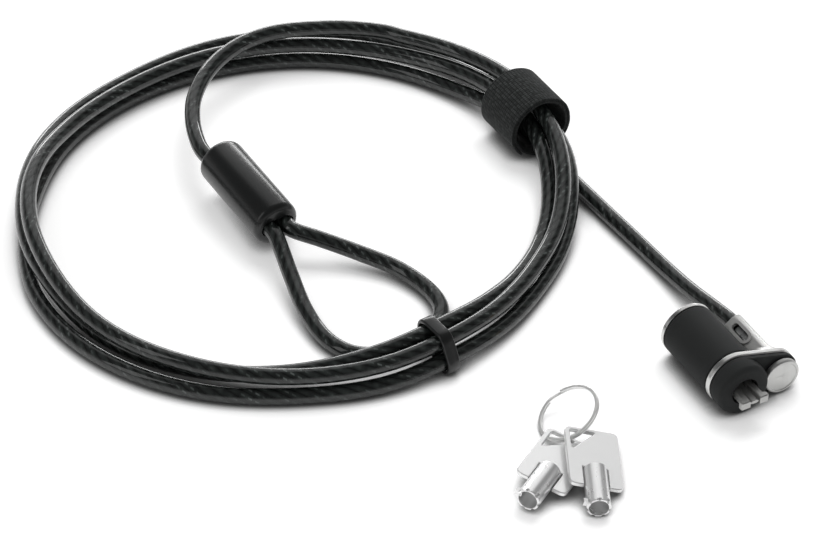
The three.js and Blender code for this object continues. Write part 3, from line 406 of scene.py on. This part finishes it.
def new_finish(name, color, roughness, **values):
    """A material with a plain colour and roughness, its node tree and the sockets of its surface."""
    material = bpy.data.materials.new(name)
    material.use_nodes = True
    tree = material.node_tree
    surface = tree.nodes["Principled BSDF"].inputs
    fill(tree, surface, {"Base Color": color, "Roughness": roughness})
    fill(tree, surface, {label.replace("_", " "): value for label, value in values.items()})
    return material, tree, surface


def use_group(tree, group, **values):
    """The outputs of a shared effect, laid over a piece in its own coordinates."""
    coordinates = add(tree, "ShaderNodeTexCoord").outputs["Object"]
    return add(tree, "ShaderNodeGroup", {"Vector": coordinates, **values}, node_tree=group).outputs


# %% [markdown]
# The cable is a steel rope in smoke-black vinyl. Light passes a little way into the vinyl, so the rope's six
# strands show as dark and less dark slanted stripes under a smooth, glossy skin. The base layer carries the
# stripes, their relief and painted highlights where single wires would glint, and a clear coat, which the
# relief doesn't disturb, gives the sharp highlights.

# %% Cable finish
ROPE_STRANDS = 6
ROPE_LAY = 2.9  # length of one twist of the rope, in the UV map's units
STRAND_DARK, STRAND_LIGHT = (0.0016, 0.0022, 0.002), (0.034, 0.04, 0.0375)
PAINTED_GLINT_STEP = 2.1  # millimetres from one painted glint to the next
PAINTED_GLINT_SHARE, PAINTED_GLINT_FROM = 0.55, 0.95  # share of that length that carries a painted glint, and how high on a strand it starts
# the colour of a painted highlight, mixed into the base colour where a wire would glint
PAINTED_GLINT_COLOR = (0.085, 0.095, 0.092)
WIRE_SCALE, PAINTED_GLINT_PATCH_SCALE = 5, 1.1  # of the unevenness in a strand, and of the places where the painted glints lie
PAINTED_GLINT_PATCH_FROM, PAINTED_GLINT_PATCH_FULL = 0.46, 0.7


def cable_finish():
    material, tree, surface = new_finish(
        "cable_vinyl",
        (0.012, 0.013, 0.013),
        0.45,
        Specular_IOR_Level=0.1,
        Coat_Weight=0.9,
        Coat_Roughness=0.06,
        Coat_IOR=1.5,
    )
    uv = add(tree, "ShaderNodeUVMap", uv_map="UVMap").outputs["UV"]
    split = add(tree, "ShaderNodeSeparateXYZ", {"Vector": uv}).outputs
    twist = math_node(tree, "MULTIPLY", split["X"], -ROPE_STRANDS / ROPE_LAY)
    across = math_node(tree, "FRACT", math_node(tree, "MULTIPLY_ADD", split["Y"], ROPE_STRANDS, twist))
    centred = math_node(tree, "MULTIPLY_ADD", across, 2.0, -1.0)
    crown = math_node(tree, "SUBTRACT", 1.0, math_node(tree, "MULTIPLY", centred, centred), clamp=True)
    wires = noise(tree, uv, WIRE_SCALE, detail=1, dimensions="2D")
    strand = mix(tree, "RGBA", math_node(tree, "MULTIPLY", crown, wires), STRAND_DARK, STRAND_LIGHT)
    # Painted highlights: short pale dashes painted into the base colour along each strand's crown, where
    # single wires would glint, more in some places than in others.
    beat = math_node(tree, "FRACT", math_node(tree, "MULTIPLY", split["X"], UV_UNIT / PAINTED_GLINT_STEP))
    short = math_node(tree, "LESS_THAN", beat, PAINTED_GLINT_SHARE)
    narrow = math_node(tree, "GREATER_THAN", crown, PAINTED_GLINT_FROM)
    patches = noise(tree, uv, PAINTED_GLINT_PATCH_SCALE, dimensions="2D")
    some = map_range(tree, patches, 0, 1, PAINTED_GLINT_PATCH_FROM, PAINTED_GLINT_PATCH_FULL)
    lit = math_node(tree, "MULTIPLY", math_node(tree, "MULTIPLY", short, narrow), some)
    color = mix(tree, "RGBA", lit, strand, PAINTED_GLINT_COLOR)
    bumps = relief(tree, crown, strength=0.12, distance=0.0004)
    fill(tree, surface, {"Base Color": color, "Normal": bumps})
    return material


CABLE = cable_finish()

# %% Sweep the cable and its loop
sweep_tree = cable_tree()
cable_values = {"Radius": CABLE_R * MM, "Sides": CABLE_SIDES, "Material": CABLE}
cable = grow("cable", path_curve("cable path", cable_path), sweep_tree, cable_values)
end_loop = grow("end_loop", path_curve("loop path", loop_path), sweep_tree, cable_values)
for piece in (cable, end_loop):
    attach(piece, "lock_body")
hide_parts("cable_lead", "cable_coil", "cable_tail")
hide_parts("cable_eye")

# %% [markdown]
# Soft-touch coating on the head and the pad is nearly matt, with a very fine grain. The sleeve and the clip
# are moulded in black plastic with a gloss skin. All are black, and mostly their gloss tells them apart.

# %% Black finishes
GRAIN_DEPTH = 0.0001  # metres


def soft_touch_finish():
    material, tree, surface = new_finish(
        "soft_touch_black", (0.02, 0.021, 0.021), 0.7, Specular_IOR_Level=0.18
    )
    grain = use_group(tree, FINE_GRAIN, Scale=2600.0)
    fill(tree, surface, {
        "Base Color": mix(tree, "RGBA", grain["Clouds"], (0.019, 0.02, 0.02), (0.025, 0.0265, 0.0265)),
        "Roughness": map_range(tree, grain["Clouds"], low=0.64, high=0.74),
        "Normal": relief(tree, grain["Height"], strength=0.12, distance=GRAIN_DEPTH),
    })
    return material


def gloss_finish():
    material, tree, surface = new_finish(
        "gloss_black",
        (0.009, 0.0097, 0.0097),
        0.32,
        Specular_IOR_Level=0.3,
        Coat_Weight=0.3,
        Coat_Roughness=0.2,
    )
    grain = use_group(tree, FINE_GRAIN, Scale=500.0)
    fill(tree, surface, {
        "Roughness": map_range(tree, grain["Clouds"], low=0.29, high=0.35),
        "Normal": relief(tree, grain["Height"], strength=0.01, distance=GRAIN_DEPTH),
    })
    return material


SOFT_TOUCH = soft_touch_finish()
GLOSS_BLACK = gloss_finish()

# %% [markdown]
# The metals differ in colour by little and in gloss by much: bright nickel on plate, ring and keys, a satin
# casting for the cable fitting, ground steel for the jaws and brass inside the cylinder. Each is given a
# darker and a lighter colour, its least and greatest roughness, and how its brushing is drawn out along the
# three axes. A metal of less than full metallic weight keeps a little of its own pale colour in the shade.

# %% Metal finishes
BRUSHING_DEPTH = 0.00005  # metres


def metal_finish(name, dark, light, low, high, stretch, bump=0.05, metallic=1.0):
    material, tree, surface = new_finish(name, light, low, Metallic=metallic)
    lines = use_group(tree, BRUSHING, Stretch=stretch)
    grain = use_group(tree, FINE_GRAIN, Scale=700.0)
    fill(tree, surface, {
        "Base Color": mix(tree, "RGBA", grain["Clouds"], dark, light),
        "Roughness": map_range(tree, lines["Lines"], low, high),
        "Normal": relief(tree, lines["Height"], bump, BRUSHING_DEPTH),
    })
    return material


NICKEL = metal_finish(
    "bright_nickel", (0.56, 0.56, 0.55), (0.68, 0.68, 0.67), 0.26, 0.34, (900, 60, 900), bump=0.015
)
RIVET = metal_finish(
    "rivet_nickel", (0.5, 0.5, 0.49), (0.58, 0.58, 0.57), 0.42, 0.52, (900, 900, 60), bump=0.015
)
KEY_NICKEL = metal_finish(
    "key_nickel", (0.87, 0.87, 0.87), (0.94, 0.94, 0.94), 0.21, 0.26, (120, 900, 900), 0.0, metallic=0.6
)
CASTING = metal_finish(
    "satin_casting", (0.52, 0.52, 0.51), (0.6, 0.6, 0.59), 0.34, 0.44, (300, 300, 300), 0.02, metallic=0.6
)
STEEL = metal_finish(
    "ground_steel", (0.36, 0.36, 0.355), (0.44, 0.44, 0.43), 0.34, 0.44, (1500, 80, 1500), 0.01, metallic=0.85
)
TUBE_NICKEL = metal_finish(
    "tube_nickel", (0.84, 0.84, 0.84), (0.9, 0.9, 0.9), 0.26, 0.32, (400, 400, 400), 0.0, metallic=0.75
)
RING_NICKEL = metal_finish(
    "ring_nickel", (0.88, 0.88, 0.87), (0.95, 0.95, 0.94), 0.34, 0.42, (400, 400, 400), 0.01, metallic=0.7
)
BRASS = metal_finish("turned_brass", (0.55, 0.4, 0.18), (0.7, 0.53, 0.27), 0.22, 0.36, (1500, 1500, 80))
ALUMINIUM = metal_finish("aluminium", (0.62, 0.63, 0.64), (0.74, 0.75, 0.76), 0.3, 0.42, (600, 60, 600))

# %% [markdown]
# Bands and rings are skins over a row of sections, each a loop of points in the drawing's millimetres. A skin
# can carry a UV map in millimetres: U runs along it and V across.

# %% A skin over sections
def skin(name, sections, closed=False, step=0.0, across=()):
    work = bmesh.new()
    uv = work.loops.layers.uv.new("UVMap")
    loops = [[work.verts.new(at(*place)) for place in section] for section in sections]
    count = len(sections[0])
    following = loops[1:] + (loops[:1] if closed else [])
    for i, (a, b) in enumerate(zip(loops, following)):
        for j in range(count):
            k = (j + 1) % count
            face = work.faces.new((a[j], a[k], b[k], b[j]))
            face.smooth = True
            if step:
                for corner, (along, side) in zip(face.loops, ((i, j), (i, k), (i + 1, k), (i + 1, j))):
                    corner[uv].uv = (along * step, across[side])
    if not closed:
        work.faces.new(loops[0])
        work.faces.new(list(reversed(loops[-1])))
    bmesh.ops.recalc_face_normals(work, faces=work.faces)
    mesh = bpy.data.meshes.new(name)
    work.to_mesh(mesh)
    work.free()
    piece = bpy.data.objects.new(name, mesh)
    bpy.context.scene.collection.objects.link(piece)
    print(f"{name}: {len(mesh.polygons)} faces")
    return piece


def rounded_box(width, height, radius, steps=4):
    """Corners of a rounded rectangle round the origin, each an arc of a few points."""
    corners = []
    for k, (x, y) in enumerate(((1, 1), (-1, 1), (-1, -1), (1, -1))):
        for i in range(steps + 1):
            turn = math.pi / 2 * (k + i / steps)
            corners.append((
                x * (width / 2 - radius) + radius * math.cos(turn),
                y * (height / 2 - radius) + radius * math.sin(turn),
            ))
    return corners


# %% [markdown]
# A solid from the drawing has crisp edges and flat facets. Real parts have a small radius on each edge, which
# catches a line of light. A copy of each solid gets its loose triangles welded, flat neighbours merged, a
# narrow bevel on the sharp edges, and smooth shading everywhere else.

# %% Rounded copies of the solid pieces
SHARP_ANGLE, FLAT_ANGLE = math.radians(28), math.radians(0.6)
WELD_DISTANCE = 2e-6


def rounded_copy(node, bevel_mm, material):
    work = bmesh.new()
    work.from_mesh(bpy.data.objects[node].data)
    bmesh.ops.remove_doubles(work, verts=work.verts, dist=WELD_DISTANCE)
    bmesh.ops.dissolve_limit(work, angle_limit=FLAT_ANGLE, verts=work.verts, edges=work.edges)
    for edge in work.edges:
        edge.smooth = len(edge.link_faces) == 2 and edge.calc_face_angle(math.pi) < SHARP_ANGLE
    for face in work.faces:
        face.smooth = True
    mesh = bpy.data.meshes.new(f"{node}_finish")
    work.to_mesh(mesh)
    work.free()
    piece = bpy.data.objects.new(f"{node}_finish", mesh)
    bpy.context.scene.collection.objects.link(piece)
    bevel = piece.modifiers.new("rounded edges", "BEVEL")
    bevel.width = bevel_mm * MM
    bevel.segments = 2
    bevel.limit_method = "ANGLE"
    bevel.angle_limit = SHARP_ANGLE
    bevel.harden_normals = True
    mesh.materials.append(material)
    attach(piece, body_of[node])
    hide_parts(node)


body_of = {node: body for body, nodes in frame["record"]["behaviour"]["bodies"].items() for node in nodes}
SOLID_FINISHES = {
    "rear_ring": (0.12, NICKEL),
    "barrel_sleeve": (0.1, SOFT_TOUCH),
    "lock_housing": (0.1, CASTING),
    "front_plate": (0.12, NICKEL),
    "front_pad": (0.15, SOFT_TOUCH),
    "anchor_rivet": (0.12, RIVET),
    "cable_anchor": (0.15, CASTING),
    "cable_ferrule": (0.1, ALUMINIUM),
    "lock_shell": (0.12, BRASS),
    "keyway_plug": (0.1, BRASS),
    "spreader_blade": (0.1, STEEL),
    "jaw_left": (0.12, STEEL),
    "jaw_right": (0.12, STEEL),
    "key_1_bow": (0.1, KEY_NICKEL),
    "key_2_bow": (0.1, KEY_NICKEL),
    "key_1_tube": (0.08, TUBE_NICKEL),
    "key_2_tube": (0.08, TUBE_NICKEL),
    "eye_sleeve": (0.2, GLOSS_BLACK),
}
for node, (bevel_mm, material) in SOLID_FINISHES.items():
    rounded_copy(node, bevel_mm, material)
print(len(SOLID_FINISHES), "solids rounded")

# %% [markdown]
# The split ring is two turns of flat wire that step from one layer to the other between its ends. The clip is
# a crowned band that hugs three strands: its middle line is the hull of three circles, one round each strand.

# %% Split ring and clip
RING_R, RING_WIRE, RING_WIDTH, RING_GAP = 9.7, 0.55, 0.95, 0.1
RING_CENTRE, RING_SLOPE = Vector((-18.7, 12.3, 5.5)), (0.575, -0.16)
RING_START = Vector((-0.26, 0.966, 0))  # the way to the wire's first end
RING_SPLIT = 28  # degrees over which the wire steps to its second layer
RING_STEPS, RING_EDGE = 260, 0.16


def ease(share):
    """Goes from 0 to 1 with a soft start and a soft end."""
    share = min(max(share, 0), 1)
    return share * share * (3 - 2 * share)


def split_ring_sections():
    up = Vector((-RING_SLOPE[0], -RING_SLOPE[1], 1)).normalized()
    start = (RING_START - up * RING_START.dot(up)).normalized()
    third = up.cross(start)
    profile = rounded_box(RING_WIDTH, RING_WIRE, RING_EDGE)
    sections = []
    for i in range(RING_STEPS + 1):
        degrees = (720 - RING_SPLIT) * i / RING_STEPS
        height = (RING_WIRE + RING_GAP) / 2 * (2 * ease((degrees - 360 + RING_SPLIT) / RING_SPLIT) - 1)
        turn = math.radians(degrees)
        outward = start * math.cos(turn) + third * math.sin(turn)
        middle = RING_CENTRE + outward * (RING_R - RING_WIDTH / 2) + up * height
        sections.append([middle + outward * x + up * y for x, y in profile])
    return sections


key_ring = skin("split_ring", split_ring_sections())
key_ring.data.materials.append(RING_NICKEL)
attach(key_ring, body_of["key_ring"])
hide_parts("key_ring")

CLIP_ANGLE, CLIP_FIT, CLIP_THICK, CLIP_WIDTH, CLIP_CROWN = 276.0, 0.35, 1.2, 4.2, 0.35
CLIP_STRANDS, CLIP_STEPS, HULL_STEPS, CLIP_EDGE = 3, 96, 60, 0.5
TABLE_GAP = 0.02  # how far above the table the lowest part of the clip stays
COIL_CENTRE = Vector((COIL_X, COIL_Y, 0))


def hull(points):
    """Convex hull of points in a plane, counterclockwise."""
    points = sorted(set(points))
    halves = []
    for row in (points, points[::-1]):
        chain = []
        for q in row:
            while len(chain) > 1 and (
                (chain[-1][0] - chain[-2][0]) * (q[1] - chain[-2][1])
                <= (chain[-1][1] - chain[-2][1]) * (q[0] - chain[-2][0])
            ):
                chain.pop()
            chain.append(q)
        halves += chain[:-1]
    return halves


def even_steps(points, count):
    """Points at even steps along a closed line."""
    closed = [Vector(q) for q in points + points[:1]]
    total = path_length(closed)
    placed, walked, k = [], 0.0, 0
    for i in range(count):
        target = total * i / count
        while walked + (closed[k + 1] - closed[k]).length < target:
            walked += (closed[k + 1] - closed[k]).length
            k += 1
        share = (target - walked) / max((closed[k + 1] - closed[k]).length, 1e-9)
        placed.append(closed[k].lerp(closed[k + 1], share))
    return placed


def coil_directions(angle):
    """Outward from the coil's centre and along the coil, at an angle in degrees."""
    turn = math.radians(angle)
    return Vector((math.cos(turn), math.sin(turn), 0)), Vector((-math.sin(turn), math.cos(turn), 0))


def clip_sections():
    reach = CABLE_R + CLIP_FIT + CLIP_THICK / 2
    circles = []
    for lap in range(CLIP_STRANDS):
        radius, height = on_route(CLIP_ANGLE + 360 * lap)
        for i in range(HULL_STEPS):
            turn = math.radians(360 / HULL_STEPS * i)
            x, y = radius + reach * math.cos(turn), height + reach * math.sin(turn)
            circles.append((round(x, 5), round(y, 5)))
    line = even_steps(hull(circles), CLIP_STEPS)
    outward, along = coil_directions(CLIP_ANGLE)
    profile = rounded_box(CLIP_THICK, CLIP_WIDTH, CLIP_EDGE)
    sections = []
    for i, place in enumerate(line):
        heading = (line[(i + 1) % len(line)] - line[i - 1]).normalized()
        normal = Vector((heading.y, -heading.x))
        section = []
        for x, y in profile:
            crown = CLIP_CROWN * (1 - (2 * y / CLIP_WIDTH) ** 2) if x > 0 else 0
            flat = place + normal * (x + crown)
            height = Vector((0, 0, max(flat.y, TABLE_GAP)))
            section.append(COIL_CENTRE + outward * flat.x + along * y + height)
        sections.append(section)
    return sections


coil_clip = skin("clip", clip_sections(), closed=True)
coil_clip.data.materials.append(GLOSS_BLACK)
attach(coil_clip, body_of["coil_clip"])
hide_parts("coil_clip")

# %% Plain finishes for the small inner parts
PIN_COUNT = 7
INNER_FINISHES = {
    "pin_block": BRASS,
    "cross_pin": STEEL,
    "jaw_spring": STEEL,
    "eye_crimp": ALUMINIUM,
}
for i in range(1, PIN_COUNT + 1):
    INNER_FINISHES[f"key_pin_{i}"] = BRASS
    INNER_FINISHES[f"driver_pin_{i}"] = STEEL
    INNER_FINISHES[f"pin_spring_{i}"] = STEEL
for node, material in INNER_FINISHES.items():
    data = bpy.data.objects[node].data
    data.materials.clear()
    data.materials.append(material)

# %% [markdown]
# The strap is a strip of hook-and-loop fabric wound almost twice round the strands. Its section across the
# bundle is a spiral: one full turn, a short climb over its own start, and most of a second turn.

# %% Strap
STRAP_ANGLE, STRAP_CENTRE_R, STRAP_Z = 2.0, 83.4, 10.8  # where its middle lies
STRAP_WIDTH, STRAP_HALF_THICK = 18.5, 0.42
STRAP_INNER_R, STRAP_OUTER_R = 9.375, 10.4
STRAP_START, STRAP_FINISH, STRAP_CLIMB = -1.47 - 2 * math.pi, 4.0, (-2.2, -1.5)  # in radians
STRAP_LIFT, STRAP_LIFT_SPAN = 0.12, 0.35  # how far the free end stands off, and over how many radians
STRAP_RIPPLE, RIPPLES_ROUND, RIPPLES_ACROSS = 0.05, 7, 0.3
STRAP_EDGE, STRAP_STEPS = 0.3, 170
STRAP_PROFILE = rounded_box(STRAP_WIDTH, 2, STRAP_EDGE)  # its height runs from -1 to 1


def strap_finish():
    material, tree, surface = new_finish(
        "strap_fabric",
        (0.012, 0.012, 0.013),
        0.9,
        Specular_IOR_Level=0.2,
        Sheen_Weight=0.08,
        Sheen_Roughness=0.5,
    )
    uv = add(tree, "ShaderNodeUVMap", uv_map="UVMap").outputs["UV"]
    threads = {
        "Vector": uv,
        "Scale": 1.0,
        "Brick Width": 1.0,
        "Row Height": 0.85,
        "Mortar Size": 0.14,
        "Mortar Smooth": 0.6,
        "Color1": (0.019, 0.021, 0.0205),
        "Color2": (0.046, 0.05, 0.049),
        "Mortar": (0.0025, 0.003, 0.003),
    }
    weave = add(tree, "ShaderNodeTexBrick", threads, offset=0, squash=1).outputs
    loops = noise(tree, uv, scale=2.4, detail=3, dimensions="2D")
    fuzz = math_node(tree, "MULTIPLY_ADD", loops, 0.5, math_node(tree, "MULTIPLY", weave["Fac"], -0.7))
    bumps = relief(tree, fuzz, strength=0.7, distance=0.0002)
    fill(tree, surface, {"Base Color": weave["Color"], "Normal": bumps})
    return material


STRAP = strap_finish()


def strap_sections():
    outward, along = coil_directions(STRAP_ANGLE)
    up = Vector((0, 0, 1))
    centre = COIL_CENTRE + outward * STRAP_CENTRE_R + up * STRAP_Z
    climb_start, climb_end = STRAP_CLIMB
    sections = []
    for i in range(STRAP_STEPS + 1):
        angle = STRAP_START + (STRAP_FINISH - STRAP_START) * i / STRAP_STEPS
        climb = ease((angle - climb_start) / (climb_end - climb_start))
        lift = min(max((angle - STRAP_FINISH + STRAP_LIFT_SPAN) / STRAP_LIFT_SPAN, 0), 1)
        radius = STRAP_INNER_R + (STRAP_OUTER_R - STRAP_INNER_R) * climb + STRAP_LIFT * lift * lift
        radial = outward * math.cos(angle) + up * math.sin(angle)
        section = []
        for across, side in STRAP_PROFILE:
            ripple = STRAP_RIPPLE * math.sin(angle * RIPPLES_ROUND + across * RIPPLES_ACROSS)
            section.append(centre + radial * (radius + side * STRAP_HALF_THICK + ripple) + along * across)
        sections.append(section)
    return sections


strap_length = (STRAP_FINISH - STRAP_START) * (STRAP_INNER_R + STRAP_OUTER_R) / 2 * MM
strap = skin(
    "strap",
    strap_sections(),
    step=strap_length / MM / STRAP_STEPS,
    across=[place[0] for place in STRAP_PROFILE],
)
strap.data.materials.append(STRAP)
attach(strap, "lock_body")
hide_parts("strap_inner", "strap_outer")
print(f"strap is {strap_length * 1000:.0f} mm long")

# %% [markdown]
# The cable's far end is its fitting, the moulded sleeve with the crimp in it, and the loop runs from the
# sleeve back into the sleeve.

# %% [markdown]
# A white sweep under soft light: the table is pale, with a soft shade where a piece rests on it. A broad lamp
# high behind and a little to the right gives the light but isn't mirrored. What the glossy parts mirror is a
# weaker lamp on the left, a low strip behind the table, a window in the world, and a bright horizon under a
# dimmer ceiling, so the cable stays black between thin bright lines.

# %% Floor
CONTACT_REACH = 0.007  # metres over which a piece darkens the table
CONTACT_DARK, CONTACT_CLEAR = 0.3, 0.82  # openness at which the shade is full, and at which it ends
TABLE_SHADED, TABLE_OPEN = (0.26, 0.26, 0.26), (0.88, 0.88, 0.88)
TABLE_GLOW = 0.36


def floor_finish():
    material = bpy.data.materials.new("table")
    material.use_nodes = True
    tree = material.node_tree
    tree.nodes.clear()
    contact = add(tree, "ShaderNodeAmbientOcclusion", {"Distance": CONTACT_REACH}, samples=12)
    openness = map_range(tree, contact.outputs["AO"], 0, 1, CONTACT_DARK, CONTACT_CLEAR, smooth=True)
    shade = mix(tree, "RGBA", openness, TABLE_SHADED, TABLE_OPEN)
    diffuse = add(tree, "ShaderNodeBsdfDiffuse", {"Color": shade})
    rays = add(tree, "ShaderNodeLightPath").outputs
    direct = math_node(tree, "ADD", rays["Is Camera Ray"], rays["Is Glossy Ray"])
    seen = math_node(tree, "ADD", direct, rays["Is Transmission Ray"], clamp=True)
    strength = math_node(tree, "MULTIPLY", seen, math_node(tree, "MULTIPLY", openness, TABLE_GLOW))
    glow = add(tree, "ShaderNodeEmission", {"Color": (1, 1, 1), "Strength": strength})
    both = add(tree, "ShaderNodeAddShader", {0: diffuse.outputs[0], 1: glow.outputs[0]})
    add(tree, "ShaderNodeOutputMaterial", {"Surface": both.outputs[0]})
    return material


bpy.ops.mesh.primitive_plane_add(size=8, location=(0, 0, 0))
floor = bpy.context.object
floor.name = "table"
floor.data.materials.append(floor_finish())


# %% World and lamps
# The horizon, the ceiling and the window are seen in reflections only.
HORIZON, CEILING, HORIZON_END, CEILING_START = 0.85, 0.12, 0.02, 0.45
WINDOW_DIRECTION, WINDOW_STRENGTH = (0.365, 0.673, 0.643), 0.95
WINDOW_EDGE, WINDOW_CORE = 0.8, 0.95  # cosines of the angles from its middle
SKY_LIGHT, BACKDROP = 0.6, 1.0
LAMP_AIM = (-0.03, 0.1, 0)


def studio_world():
    world = bpy.data.worlds.new("studio")
    bpy.context.scene.world = world
    world.use_nodes = True
    tree = world.node_tree
    tree.nodes.clear()
    direction = add(tree, "ShaderNodeTexCoord").outputs["Generated"]
    height = add(tree, "ShaderNodeSeparateXYZ", {"Vector": direction}).outputs["Z"]
    sky = map_range(tree, height, HORIZON, CEILING, HORIZON_END, CEILING_START, smooth=True)
    factors = {0: direction, 1: WINDOW_DIRECTION}
    toward = add(tree, "ShaderNodeVectorMath", factors, operation="DOT_PRODUCT").outputs["Value"]
    window = map_range(tree, toward, 0, WINDOW_STRENGTH, WINDOW_EDGE, WINDOW_CORE, smooth=True)
    mirrored = math_node(tree, "ADD", sky, window)
    rays = add(tree, "ShaderNodeLightPath").outputs
    light = mix(tree, "FLOAT", rays["Is Glossy Ray"], SKY_LIGHT, mirrored)
    seen = mix(tree, "FLOAT", rays["Is Camera Ray"], light, BACKDROP)
    background = add(tree, "ShaderNodeBackground", {"Strength": seen})
    add(tree, "ShaderNodeOutputWorld", {"Surface": background.outputs[0]})


def soft_lamp(name, place, width, height, power):
    data = bpy.data.lights.new(name, "AREA")
    data.shape = "RECTANGLE"
    data.size, data.size_y = width, height
    data.energy = power
    lamp = bpy.data.objects.new(name, data)
    bpy.context.scene.collection.objects.link(lamp)
    lamp.location = place
    lamp.rotation_euler = (Vector(LAMP_AIM) - Vector(place)).to_track_quat("-Z", "Y").to_euler()
    return lamp


studio_world()
key_lamp = soft_lamp("key_lamp", (0.5, 0.7, 1.4), width=1.0, height=0.8, power=13)
key_lamp.visible_glossy = False
soft_lamp("side_lamp", (-1.1, 0.1, 0.7), width=0.35, height=0.9, power=1.5)
strip = soft_lamp("back_strip", (0.6, 1.3, 0.24), width=1.2, height=0.2, power=6)
strip.visible_diffuse = False
bpy.context.scene.view_settings.view_transform = "Standard"
